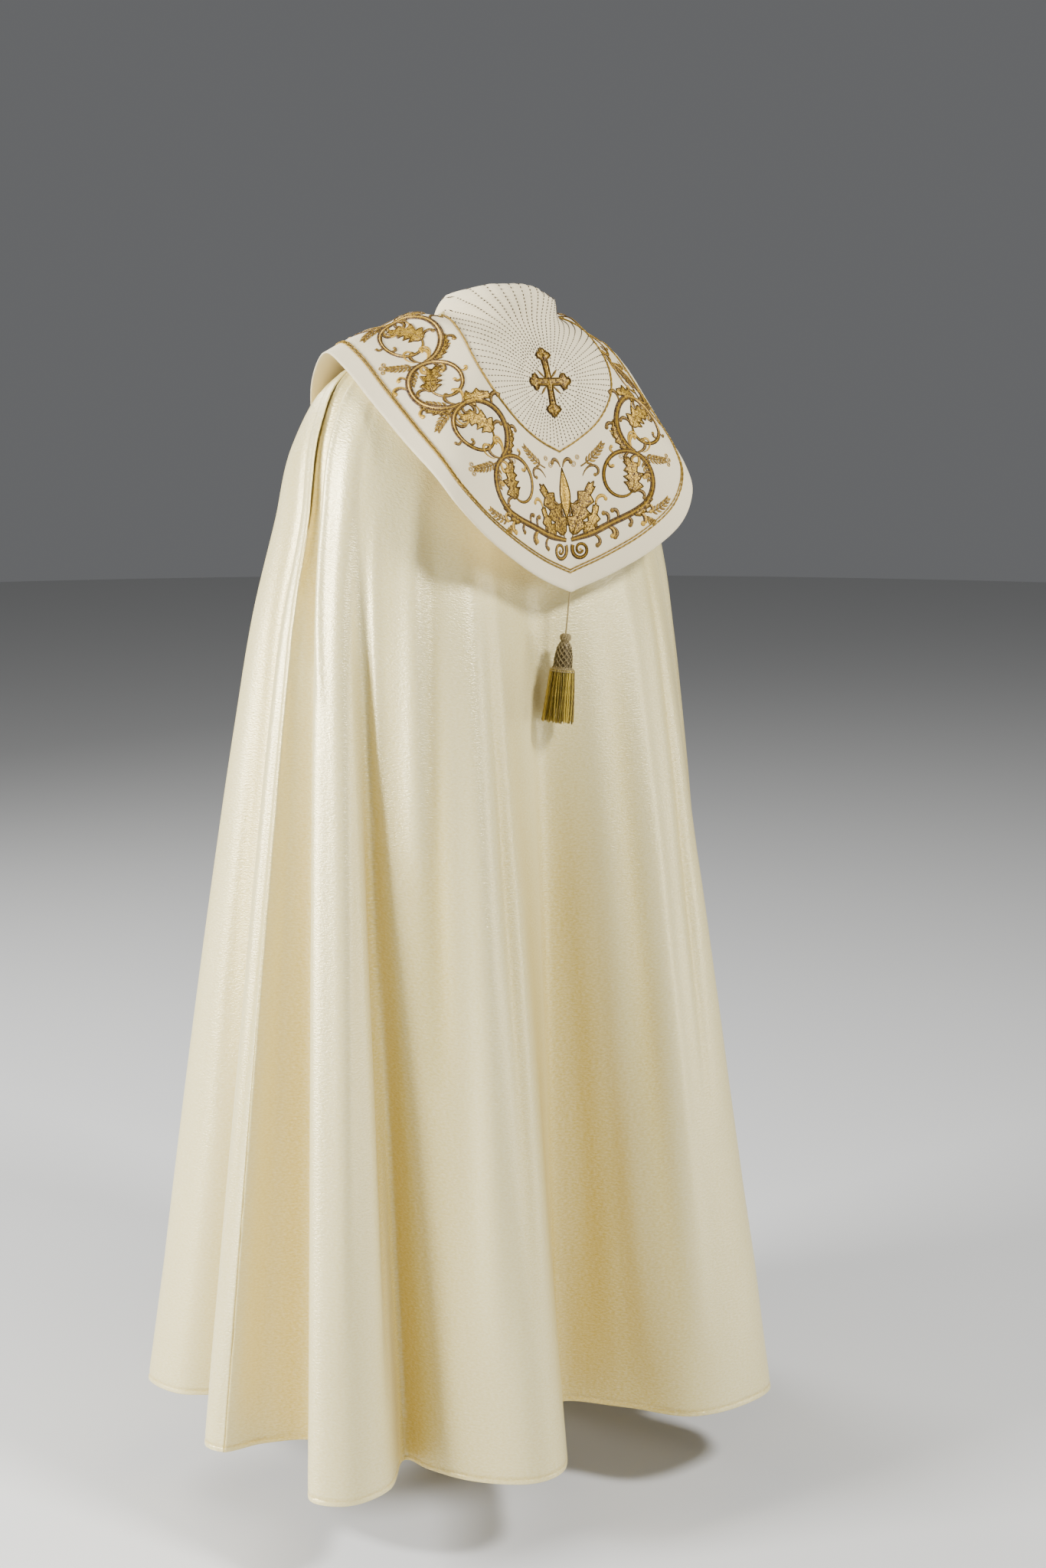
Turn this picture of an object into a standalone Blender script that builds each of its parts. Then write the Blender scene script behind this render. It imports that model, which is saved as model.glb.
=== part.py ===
"""Cope: a semicircular mantle of heavy satin, worn over the shoulders, with a stiff
shield-shaped hood on its neck edge, a front closing tab and a tassel on a cord.

Metres, +Z up, +X towards the wearer's left, +Y towards the wearer's back. The origin
is the centre of the neck at shoulder level, 1.5 m above the floor. An azimuth is in
degrees round the wearer: 0 at the front, 90 at the left, 180 at the back.
"""
import math
from typing import NamedTuple

import bmesh
import bpy
import numpy as np
from mathutils import Matrix, Vector

MANTLE_WALL = 0.0020
HOOD_WALL = 0.0024
MORSE_WALL = 0.0026
SEAM_GAP = 0.0003
SEWN_DEPTH = 0.0004
HEM_HEIGHT = -1.38
RIDGE_ROUNDNESS = 1.35
PROBE = 0.0005


class Section(NamedTuple):
    """One ring of the mantle over the shoulders, from the neck down."""

    name: str
    side: float
    back: float
    front: float
    middle_y: float
    side_z: float
    back_z: float
    front_z: float
    squareness: float
    relief: float


SECTIONS = (
    Section("neck edge", 0.0745, 0.066, 0.072, -0.003, 0.030, 0.040, -0.042, 2.0, 0.00),
    Section("neck base", 0.102, 0.077, 0.088, -0.010, 0.012, -0.003, -0.073, 2.0, 0.00),
    Section("shoulder slope", 0.148, 0.094, 0.119, -0.018, -0.004, -0.049, -0.108, 2.1, 0.01),
    Section("shoulder", 0.190, 0.105, 0.145, -0.026, -0.029, -0.099, -0.149, 2.2, 0.02),
    Section("shoulder point", 0.222, 0.114, 0.170, -0.033, -0.055, -0.142, -0.178, 2.3, 0.04),
    Section("upper arm", 0.248, 0.120, 0.188, -0.036, -0.112, -0.190, -0.212, 2.4, 0.07),
    Section("yoke line", 0.265, 0.126, 0.204, -0.036, -0.215, -0.260, -0.265, 2.5, 0.11),
)


class Fold(NamedTuple):
    """One place round the mantle: where it is at the hem and at the yoke line."""

    name: str
    hem_azimuth: float
    hem_reach: float
    yoke_azimuth: float


FOLDS = (
    Fold("left front edge", 6.0, 0.380, 4.0),
    Fold("left front roll", 17.0, 0.425, 16.0),
    Fold("left front valley", 31.0, 0.322, 33.0),
    Fold("fold A rise", 44.0, 0.425, 52.0),
    Fold("fold A crest", 54.5, 0.471, 68.0),
    Fold("fold A back", 61.5, 0.432, 76.5),
    Fold("fold A inner side", 64.0, 0.380, 81.5),
    Fold("valley A to B", 68.5, 0.318, 85.0),
    Fold("fold B flank", 76.5, 0.400, 87.5),
    Fold("fold B crest", 83.0, 0.436, 89.8),
    Fold("side seam, left", 86.8, 0.424, 91.5),
    Fold("fold B slope", 88.2, 0.372, 93.2),
    Fold("valley B to C", 94.5, 0.320, 95.6),
    Fold("fold C flank", 105.0, 0.392, 97.2),
    Fold("fold C edge", 110.3, 0.441, 98.6),
    Fold("fold C crest", 116.2, 0.430, 102.0),
    Fold("fold C turn", 120.4, 0.376, 105.2),
    Fold("valley C to D", 118.2, 0.296, 108.5),
    Fold("fold D start", 124.5, 0.309, 113.5),
    Fold("fold D face", 136.0, 0.332, 125.0),
    Fold("fold D crest", 148.5, 0.341, 138.0),
    Fold("fold D turn", 155.8, 0.318, 144.5),
    Fold("fold D wall", 163.0, 0.226, 153.0),
    Fold("valley D to E", 177.0, 0.141, 168.0),
    Fold("fold E rise", 193.0, 0.214, 189.0),
    Fold("fold E face", 198.6, 0.298, 206.0),
    Fold("fold E broad", 209.5, 0.348, 220.0),
    Fold("fold E crest", 219.0, 0.374, 229.0),
    Fold("fold E turn", 227.5, 0.355, 233.5),
    Fold("valley E to F", 237.0, 0.285, 239.0),
    Fold("fold F crest", 249.5, 0.364, 248.0),
    Fold("fold F turn", 258.0, 0.358, 254.0),
    Fold("valley F to G", 266.0, 0.292, 261.0),
    Fold("side seam, right", 274.5, 0.400, 268.5),
    Fold("fold G crest", 280.0, 0.432, 272.5),
    Fold("fold G turn", 287.5, 0.402, 279.0),
    Fold("valley G to H", 294.5, 0.318, 285.5),
    Fold("fold H crest", 306.0, 0.464, 299.0),
    Fold("fold H turn", 315.0, 0.425, 309.0),
    Fold("right front valley", 328.0, 0.325, 326.0),
    Fold("right front roll", 343.0, 0.428, 344.0),
    Fold("right front edge", 354.0, 0.382, 356.0),
)
LEFT_SEAM = "side seam, left"
RIGHT_SEAM = "side seam, right"
HEM_SIDE, HEM_BACK, HEM_FRONT = 0.415, 0.320, 0.430
SKIRT_STEPS = (0.10, 0.22, 0.38, 0.58, 0.79, 1.00)
SKIRT_BOW, BOW_RISE, BOW_BACK_SHARE = 0.012, 0.5, 0.3
SIDE_COLUMNS, BACK_COLUMNS = 35, 72
YOKE_ROWS = 9


class HoodPlace(NamedTuple):
    """One place round the hood's left half: its outer edge and a ring half way in."""

    name: str
    edge: tuple
    middle: tuple
    neck_azimuth: float


HOOD_PLACES = (
    HoodPlace("front edge", (0.012, -0.200, -0.207), (0.012, -0.139, -0.116), 6.0),
    HoodPlace("front corner", (0.060, -0.196, -0.198), (0.042, -0.136, -0.110), 22.0),
    HoodPlace("chest", (0.122, -0.176, -0.162), (0.084, -0.123, -0.084), 40.0),
    HoodPlace("front of shoulder", (0.180, -0.138, -0.107), (0.120, -0.098, -0.045), 58.0),
    HoodPlace("shoulder, front", (0.214, -0.094, -0.057), (0.143, -0.067, -0.007), 74.0),
    HoodPlace("shoulder top", (0.229, -0.045, -0.019), (0.152, -0.031, 0.012), 90.0),
    HoodPlace("shoulder, back", (0.227, -0.006, -0.036), (0.149, 0.002, 0.004), 102.0),
    HoodPlace("back of shoulder", (0.220, 0.045, -0.080), (0.140, 0.040, -0.017), 114.0),
    HoodPlace("blade, upper", (0.211, 0.095, -0.124), (0.135, 0.078, -0.042), 127.0),
    HoodPlace("blade", (0.202, 0.138, -0.160), (0.128, 0.104, -0.062), 139.0),
    HoodPlace("corner", (0.190, 0.165, -0.193), (0.116, 0.120, -0.080), 149.0),
    HoodPlace("corner, lower", (0.158, 0.179, -0.230), (0.096, 0.129, -0.098), 158.0),
    HoodPlace("sweep", (0.109, 0.175, -0.263), (0.066, 0.131, -0.118), 166.0),
    HoodPlace("sweep to tip", (0.053, 0.161, -0.290), (0.033, 0.128, -0.133), 173.0),
    HoodPlace("tip", (0.0, 0.148, -0.309), (0.0, 0.127, -0.143), 180.0),
)
HOOD_HEART = (0.0, 0.0, -0.12)
FIELD_BULGE, BAND_BULGE = 0.0065, 0.0035
HOOD_COLUMNS, HOOD_ROWS = 27, 9


class RollRow(NamedTuple):
    """One row of the soft neck roll, outwards and upwards from the neck seam."""

    name: str
    outwards: float
    upwards: float


ROLL_ROWS = (
    RollRow("turned in end", -0.0105, 0.0010),
    RollRow("inner side", -0.0100, 0.0120),
    RollRow("crest", -0.0045, 0.0200),
    RollRow("outer side", 0.0010, 0.0120),
    RollRow("seam", 0.0, 0.0),
)
FRONT_ROLL_SCALE = 0.6

MORSE_COLUMNS, MORSE_TOP_ROW, MORSE_BOTTOM_ROW = 3, 3, 6

CORD_DIAMETER, CORD_LENGTH = 0.0024, 0.051
CORD_POINTS = 9
TASSEL_LEAN = math.radians(7.0)
HEAD_PROFILE = (
    (0.0000, 0.0000),
    (0.0042, -0.0010),
    (0.0064, -0.0050),
    (0.0042, -0.0094),
    (0.0048, -0.0112),
    (0.0092, -0.0165),
    (0.0110, -0.0260),
    (0.0113, -0.0400),
    (0.0158, -0.0440),
    (0.0158, -0.0475),
    (0.0000, -0.0475),
)
HEAD_SIDES = 20
WELD = 0.00001
SKIRT_TOP, SKIRT_LENGTH = 0.0455, 0.067
STRAND_RADIUS, STRAND_SIDES = 0.0012, 4
SHARP_ANGLE = math.radians(50)


class StrandRing(NamedTuple):
    """One ring of bullion strands under the tassel's head."""

    count: int
    top_radius: float
    foot_radius: float


STRAND_RINGS = (
    StrandRing(30, 0.0142, 0.0188),
    StrandRing(20, 0.0100, 0.0134),
    StrandRing(10, 0.0056, 0.0078),
)


def through(values, knots, at):
    """Read a smooth curve through values, one value a knot, at the places given."""
    values = np.asarray(values, float)
    knots = np.asarray(knots, float)
    at = np.asarray(at, float)
    tail = (1,) * (values.ndim - 1)
    steps = np.diff(knots)
    slopes = np.diff(values, axis=0) / steps.reshape(-1, *tail)
    share = (steps[1:] / (steps[1:] + steps[:-1])).reshape(-1, *tail)
    tangents = np.concatenate(
        [slopes[:1], slopes[:-1] * share + slopes[1:] * (1 - share), slopes[-1:]])
    i = np.clip(np.searchsorted(knots, at, side="right") - 1, 0, len(steps) - 1)
    step = steps[i].reshape(-1, *tail)
    t = ((at - knots[i]) / steps[i]).reshape(-1, *tail)
    rise = t * t * (3 - 2 * t)
    return (values[i] * (1 - rise) + values[i + 1] * rise
            + step * (tangents[i] * t * (1 - t) ** 2 - tangents[i + 1] * t * t * (1 - t)))


def chord_knots(points, power):
    """Knot values that grow with the distance between points, to the given power."""
    gaps = np.linalg.norm(np.diff(points, axis=0), axis=1) ** power
    return np.concatenate([[0.0], np.cumsum(gaps)])


def oval_reach(azimuth, side, back, front, squareness):
    """Distance from an oval's centre to its rim, at azimuths in radians."""
    along = -np.cos(azimuth)
    depth = np.where(along > 0, back, front)
    total = np.abs(np.sin(azimuth) / side) ** squareness + np.abs(along / depth) ** squareness
    return total ** (-1 / squareness)


def fold_stations():
    """Hem x, hem y and yoke azimuth of each fold row, with their knots."""
    rows = np.array([fold[1:] for fold in FOLDS])
    hem = np.radians(rows[:, 0])
    plan = np.column_stack([rows[:, 1] * np.sin(hem), -rows[:, 1] * np.cos(hem)])
    stations = np.column_stack([plan, np.radians(rows[:, 2])])
    return stations, chord_knots(plan, 0.5)


def fold_knot(name):
    """Knot value of a named fold row."""
    names = [fold.name for fold in FOLDS]
    return fold_stations()[1][names.index(name)]


def section_ring(section, azimuth, depth):
    """Points of one ring, with the folds' depth at the hem taken in by its relief."""
    middle = section.middle_y
    reach = oval_reach(azimuth, section.side, section.back - middle,
                       section.front + middle, section.squareness)
    reach = reach + section.relief * depth
    facing = -np.cos(azimuth)
    end_z = np.where(facing > 0, section.back_z, section.front_z)
    z = section.side_z + (end_z - section.side_z) * np.abs(facing) ** RIDGE_ROUNDNESS
    return np.column_stack([reach * np.sin(azimuth), middle + reach * facing, z])


def mantle_rings(around):
    """Every ring of the mantle, neck to hem, at the fold knots given."""
    stations, knots = fold_stations()
    x, y, azimuth = through(stations, knots, around).T
    hem_azimuth = np.arctan2(x, -y)
    depth = np.hypot(x, y) - oval_reach(hem_azimuth, HEM_SIDE, HEM_BACK, HEM_FRONT, 2.0)
    rings = [section_ring(section, azimuth, depth) for section in SECTIONS]
    yoke = rings[-1]
    hem = np.column_stack([x, y, np.full_like(x, HEM_HEIGHT)])
    outwards = np.column_stack([np.sin(azimuth), -np.cos(azimuth), np.zeros_like(x)])
    sideways = BOW_BACK_SHARE + (1 - BOW_BACK_SHARE) * np.sin(azimuth) ** 2
    for step in SKIRT_STEPS:
        bow = SKIRT_BOW * math.sin(math.pi * step ** BOW_RISE) * sideways
        rings.append(yoke + (hem - yoke) * step + outwards * bow[:, None])
    return np.array(rings)


def ring_knots():
    """Knot value of each mantle ring: the mean way down the cloth from the neck."""
    stations, knots = fold_stations()
    rings = mantle_rings(knots)
    gaps = np.linalg.norm(np.diff(rings, axis=0), axis=2).mean(axis=1)
    return np.concatenate([[0.0], np.cumsum(gaps)])


def mantle_points(around, down):
    """Outer face of the mantle: one row of points for each place down the cloth."""
    return through(mantle_rings(around), ring_knots(), down)


def face_normals(surface, around, down):
    """Unit normals of a surface function, from points a small step apart."""
    across = surface(around + PROBE, down) - surface(around - PROBE, down)
    along = surface(around, down + PROBE) - surface(around, down - PROBE)
    normals = np.cross(along, across)
    return normals / np.linalg.norm(normals, axis=2, keepdims=True)


def neck_normals(azimuth):
    """Outward normals of the mantle at its neck edge, at azimuths in radians."""
    top, below = (section_ring(section, azimuth, 0.0) for section in SECTIONS[:2])
    ahead = section_ring(SECTIONS[0], azimuth + PROBE, 0.0)
    normals = np.cross(below - top, ahead - top)
    return normals / np.linalg.norm(normals, axis=1, keepdims=True)


def bulged(points, height):
    """Points moved away from the middle of the chest by the height given."""
    away = points - np.array(HOOD_HEART)
    return points + height * away / np.linalg.norm(away, axis=1, keepdims=True)


def hood_rings(around):
    """Every ring of the hood's left half, from the neck roll out to its edge."""
    places = np.arange(len(HOOD_PLACES))
    edge = through([place.edge for place in HOOD_PLACES], places, around)
    middle = through([place.middle for place in HOOD_PLACES], places, around)
    azimuth = np.radians(through([place.neck_azimuth for place in HOOD_PLACES], places, around))
    seam = section_ring(SECTIONS[0], azimuth, 0.0)
    seam = seam + neck_normals(azimuth) * (SEAM_GAP + HOOD_WALL + SEWN_DEPTH)
    outwards = np.column_stack([np.sin(azimuth), -np.cos(azimuth), np.zeros_like(azimuth)])
    frontness = (1 + np.cos(azimuth)) / 2
    scale = 1 - (1 - FRONT_ROLL_SCALE) * frontness
    rise = np.column_stack([np.zeros_like(scale), np.zeros_like(scale), scale])
    rings = [seam + outwards * row.outwards + rise * row.upwards for row in ROLL_ROWS]
    rings.append(bulged((seam + middle) / 2, FIELD_BULGE))
    rings.append(middle)
    rings.append(bulged((middle + edge) / 2, BAND_BULGE))
    rings.append(edge)
    return np.array(rings)


def hood_ring_knots():
    """Knot value of each hood ring: the mean way out across the cloth."""
    rings = hood_rings(np.arange(len(HOOD_PLACES)))
    gaps = np.linalg.norm(np.diff(rings, axis=0), axis=2).mean(axis=1)
    return np.concatenate([[0.0], np.cumsum(gaps)])


def hood_points(around, out):
    """Upper face of the hood: places 0 to the tip on the left, then back on the right."""
    tip = len(HOOD_PLACES) - 1
    left = through(hood_rings(np.where(around > tip, 2 * tip - around, around)),
                   hood_ring_knots(), out)
    sign = np.where(around > tip, -1.0, 1.0)
    return left * np.stack([sign, np.ones_like(sign), np.ones_like(sign)], axis=1)


def wall_object(name, outer, inner):
    """Closed wall between two grids of points with the same rows and columns."""
    rows, columns = outer.shape[:2]
    mesh = bmesh.new()
    skins = [[[mesh.verts.new(point) for point in row] for row in skin] for skin in (outer, inner)]
    for skin in skins:
        for r in range(rows - 1):
            for c in range(columns - 1):
                mesh.faces.new((skin[r][c], skin[r + 1][c], skin[r + 1][c + 1], skin[r][c + 1]))
    rim = [(0, c) for c in range(columns)] + [(r, columns - 1) for r in range(1, rows)]
    rim += [(rows - 1, c) for c in range(columns - 2, -1, -1)]
    rim += [(r, 0) for r in range(rows - 2, 0, -1)]
    for (r0, c0), (r1, c1) in zip(rim, rim[1:] + rim[:1]):
        mesh.faces.new((skins[0][r0][c0], skins[0][r1][c1], skins[1][r1][c1], skins[1][r0][c0]))
    bmesh.ops.recalc_face_normals(mesh, faces=mesh.faces)
    return mesh_object(name, mesh, "cope")


def mesh_object(name, mesh, collection):
    """New object from a finished bmesh, in the collection named."""
    data = bpy.data.meshes.new(name)
    mesh.to_mesh(data)
    mesh.free()
    data.shade_smooth()
    data.set_sharp_from_angle(angle=SHARP_ANGLE)
    part = bpy.data.objects.new(name, data)
    bpy.data.collections[collection].objects.link(part)
    return part


def material(name, color, roughness, metallic=0.0):
    """Principled material with one colour, roughness and metallic value."""
    finish = bpy.data.materials.new(name)
    finish.use_nodes = True
    shader = finish.node_tree.nodes["Principled BSDF"]
    shader.inputs["Base Color"].default_value = (*color, 1.0)
    shader.inputs["Roughness"].default_value = roughness
    shader.inputs["Metallic"].default_value = metallic
    return finish


def mantle_panel(name, start, end, columns, seams, finish):
    """One panel of the mantle between two fold knots; seams tells which ends are sewn.

    A sewn end moves half a seam gap into the panel, so that two panels stay parted.
    """
    around = np.linspace(start, end, columns)
    knots = ring_knots()
    yoke = knots[len(SECTIONS) - 1]
    down = np.concatenate([np.linspace(0.0, yoke, YOKE_ROWS), knots[len(SECTIONS):]])
    outer = mantle_points(around, down)
    inner = outer - face_normals(mantle_points, around, down) * MANTLE_WALL
    for column, inwards, sewn in ((0, 1, seams[0]), (-1, -1, seams[1])):
        if sewn:
            here = around[[column]]
            way = mantle_points(here + inwards * PROBE, down) - mantle_points(here, down)
            way /= np.linalg.norm(way, axis=2, keepdims=True)
            outer[:, column] += way[:, 0] * SEAM_GAP / 2
            inner[:, column] += way[:, 0] * SEAM_GAP / 2
    panel = wall_object(name, outer, inner)
    panel.data.materials.append(finish)


def build_mantle(finish):
    """The three panels of the mantle, parted at the side seams."""
    last = fold_stations()[1][-1]
    left, right = fold_knot(LEFT_SEAM), fold_knot(RIGHT_SEAM)
    mantle_panel("mantle_left", 0.0, left, SIDE_COLUMNS, (False, True), finish)
    mantle_panel("mantle_back", left, right, BACK_COLUMNS, (True, True), finish)
    mantle_panel("mantle_right", right, last, SIDE_COLUMNS, (True, False), finish)


def hood_half_normals(around, out):
    """Unit normals of the hood's left half; the tip's column keeps to its own half."""
    tip = len(HOOD_PLACES) - 1
    inside = np.clip(around, 2 * PROBE, tip - 2 * PROBE)
    return face_normals(hood_points, inside, out)


def hood_columns():
    """Places of the hood's columns, from its front edge to its tip."""
    return np.linspace(0.0, len(HOOD_PLACES) - 1, HOOD_COLUMNS)


def hood_rows():
    """Rows of the hood below its neck roll, from the neck seam to the outer edge."""
    knots = hood_ring_knots()
    return np.linspace(knots[len(ROLL_ROWS) - 1], knots[-1], HOOD_ROWS)


def build_hood(finish):
    """The hood, from the turned-in end of its neck roll to its outer edge."""
    out = np.concatenate([hood_ring_knots()[:len(ROLL_ROWS) - 1], hood_rows()])
    around = hood_columns()
    outer = hood_points(around, out)
    inner = outer - hood_half_normals(around, out) * HOOD_WALL
    inner[:, -1, 0] = 0.0
    mirror = np.array([-1.0, 1.0, 1.0])
    outer = np.concatenate([outer, outer[:, -2::-1] * mirror], axis=1)
    inner = np.concatenate([inner, inner[:, -2::-1] * mirror], axis=1)
    hood = wall_object("hood", outer, inner)
    hood.data.materials.append(finish)


def build_morse(finish):
    """Plain closing tab across the front edges, laid on the hood's front ends."""
    out = hood_rows()[MORSE_TOP_ROW:MORSE_BOTTOM_ROW + 1]
    around = hood_columns()[:MORSE_COLUMNS]
    face = hood_points(around, out)
    normals = hood_half_normals(around, out)
    mirror = np.array([-1.0, 1.0, 1.0])
    inner = face + normals * SEAM_GAP
    outer = face + normals * (SEAM_GAP + MORSE_WALL)
    inner = np.concatenate([inner[:, ::-1] * mirror, inner], axis=1)
    outer = np.concatenate([outer[:, ::-1] * mirror, outer], axis=1)
    morse = wall_object("morse", outer, inner)
    morse.data.materials.append(finish)


def cord_route():
    """Points of the tassel's cord, from just under the hood's tip to the tassel."""
    tip = np.array(HOOD_PLACES[-1].edge) - (0.0, HOOD_WALL / 2, 2 * SEAM_GAP)
    foot = tip + CORD_LENGTH * np.array([math.sin(TASSEL_LEAN), 0.0, -math.cos(TASSEL_LEAN)])
    share = np.linspace(0.0, 1.0, CORD_POINTS)
    return tip + (foot - tip) * share[:, None]


def build_cord(finish):
    """The twisted cord as a plain tube."""
    route = cord_route()
    curve = bpy.data.curves.new("tassel_cord", "CURVE")
    curve.dimensions = "3D"
    curve.bevel_depth = CORD_DIAMETER / 2
    curve.bevel_resolution = 2
    curve.use_fill_caps = True
    spline = curve.splines.new("POLY")
    spline.points.add(len(route) - 1)
    for point, place in zip(spline.points, route):
        point.co = (*place, 1.0)
    cord = bpy.data.objects.new("tassel_cord", curve)
    bpy.data.collections["cope"].objects.link(cord)
    curve.materials.append(finish)


def tassel_head():
    """Turned knob and bell-shaped head, hanging down from its own origin."""
    mesh = bmesh.new()
    corners = [mesh.verts.new((radius, 0.0, z)) for radius, z in HEAD_PROFILE]
    for upper, lower in zip(corners, corners[1:]):
        mesh.edges.new((upper, lower))
    head = mesh_object("tassel", mesh, "cope")
    turned = head.modifiers.new("turned", "SCREW")
    turned.axis = "Z"
    turned.steps = HEAD_SIDES
    turned.render_steps = HEAD_SIDES
    turned.use_merge_vertices = True
    turned.merge_threshold = WELD
    return head


def tassel_strands():
    """Every strand of the skirt, four-sided, in one mesh, roots inside the head."""
    mesh = bmesh.new()
    for number, ring in enumerate(STRAND_RINGS):
        root = Vector((ring.top_radius, 0.0, -SKIRT_TOP))
        foot = Vector((ring.foot_radius, 0.0, -SKIRT_TOP - SKIRT_LENGTH))
        lean = (root - foot).to_track_quat("Z", "X").to_matrix().to_4x4()
        strand = Matrix.Translation((root + foot) / 2) @ lean
        for k in range(ring.count):
            turn = 2 * math.pi * (k + 0.5 * (number % 2)) / ring.count
            bmesh.ops.create_cone(
                mesh, cap_ends=True, segments=STRAND_SIDES, radius1=STRAND_RADIUS,
                radius2=STRAND_RADIUS, depth=(root - foot).length,
                matrix=Matrix.Rotation(turn, 4, "Z") @ strand)
    strands = mesh_object("strand_cutter", mesh, "helpers")
    strands.hide_render = True
    strands.display_type = "WIRE"
    return strands


def build_tassel(finish):
    """The tassel: head and strands as one solid, hung from the cord's foot."""
    head = tassel_head()
    strands = tassel_strands()
    foot = cord_route()[-1]
    way = np.array([math.sin(TASSEL_LEAN), 0.0, -math.cos(TASSEL_LEAN)])
    for part in (head, strands):
        part.location = foot + way * SEAM_GAP
        part.rotation_euler = (0.0, -TASSEL_LEAN, 0.0)
    joined = head.modifiers.new("strands", "BOOLEAN")
    joined.operation = "UNION"
    joined.solver = "EXACT"
    joined.object = strands
    head.data.materials.append(finish)


def main():
    """Clear the file, then build every piece of the cope."""
    for old in list(bpy.data.objects):
        bpy.data.objects.remove(old)
    for name in ("cope", "helpers"):
        bpy.context.scene.collection.children.link(bpy.data.collections.new(name))
    satin = material("cream satin", (0.83, 0.76, 0.60), 0.42)
    ivory = material("ivory hood cloth", (0.88, 0.84, 0.76), 0.72)
    gold = material("gold thread", (0.72, 0.53, 0.20), 0.38, 0.7)
    build_mantle(satin)
    build_hood(ivory)
    build_morse(ivory)
    build_cord(gold)
    build_tassel(gold)


main()
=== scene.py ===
"""Looks of the cope: satin mantle, embroidered hood, closing tab, cord and tassel.

Metres, +Z up, +X towards the wearer's left, +Y towards the wearer's back. The origin
is the centre of the neck at shoulder level. The cloth's forms are the ones of the
solid model, made finer here. The hood is also laid out flat, as a maker would cut it,
and its embroidery is designed on that flat pattern and then carried to the cloth.
"""
import logging
import math
from dataclasses import dataclass, field
from enum import Enum
from typing import NamedTuple, Sequence

import bpy
import numpy as np
from mathutils import Matrix, Vector
from mathutils.geometry import delaunay_2d_cdt
from mathutils.kdtree import KDTree


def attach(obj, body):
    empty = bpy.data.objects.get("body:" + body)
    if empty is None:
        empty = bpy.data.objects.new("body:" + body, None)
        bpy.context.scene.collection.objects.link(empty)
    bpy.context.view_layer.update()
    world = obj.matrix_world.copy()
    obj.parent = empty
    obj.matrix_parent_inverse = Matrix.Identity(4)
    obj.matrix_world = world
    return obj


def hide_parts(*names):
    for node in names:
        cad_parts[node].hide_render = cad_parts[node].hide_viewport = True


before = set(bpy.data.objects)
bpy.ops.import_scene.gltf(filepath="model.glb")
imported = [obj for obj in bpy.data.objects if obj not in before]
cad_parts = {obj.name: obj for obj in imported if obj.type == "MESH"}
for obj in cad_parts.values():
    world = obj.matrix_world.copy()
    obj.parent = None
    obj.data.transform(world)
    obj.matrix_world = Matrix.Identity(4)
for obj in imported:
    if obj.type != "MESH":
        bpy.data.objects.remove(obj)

Array = np.ndarray
Color = tuple[float, float, float]
LOG = logging.getLogger("cope")
BODY = "root"
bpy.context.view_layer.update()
MIRROR = np.array([-1.0, 1.0, 1.0])
PROBE = 0.0005
SEAM_GAP = 0.0003
CURVE_DENSITY = 24
NOISE_DRAWS = 256
SHARP_ANGLE = math.radians(60.0)
RIM_ROUNDNESS = 0.4


class Section(NamedTuple):
    """One ring of the mantle over the shoulders, from the neck down."""

    name: str
    side: float
    back: float
    front: float
    middle_y: float
    side_z: float
    back_z: float
    front_z: float
    squareness: float
    relief: float


class Fold(NamedTuple):
    """One place round the mantle: where it is at the hem and at the yoke line."""

    name: str
    hem_azimuth: float
    hem_reach: float
    yoke_azimuth: float


class HoodPlace(NamedTuple):
    """One place round the hood's left half, with the way out to its inner gold line."""

    name: str
    edge: tuple[float, float, float]
    middle: tuple[float, float, float]
    neck_azimuth: float
    inner_line: float


class RollRow(NamedTuple):
    """One row of the soft neck roll, outwards and upwards from the neck seam."""

    name: str
    outwards: float
    upwards: float


SECTIONS = (
    Section("neck edge", 0.0745, 0.066, 0.072, -0.003, 0.030, 0.040, -0.042, 2.0, 0.00),
    Section("neck base", 0.102, 0.077, 0.088, -0.010, 0.012, -0.003, -0.073, 2.0, 0.00),
    Section("shoulder slope", 0.148, 0.094, 0.119, -0.018, -0.004, -0.049, -0.108, 2.1, 0.01),
    Section("shoulder", 0.190, 0.105, 0.145, -0.026, -0.029, -0.099, -0.149, 2.2, 0.02),
    Section("shoulder point", 0.222, 0.114, 0.170, -0.033, -0.055, -0.142, -0.178, 2.3, 0.04),
    Section("upper arm", 0.248, 0.120, 0.188, -0.036, -0.112, -0.190, -0.212, 2.4, 0.07),
    Section("yoke line", 0.265, 0.126, 0.204, -0.036, -0.215, -0.260, -0.265, 2.5, 0.11),
)
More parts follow.
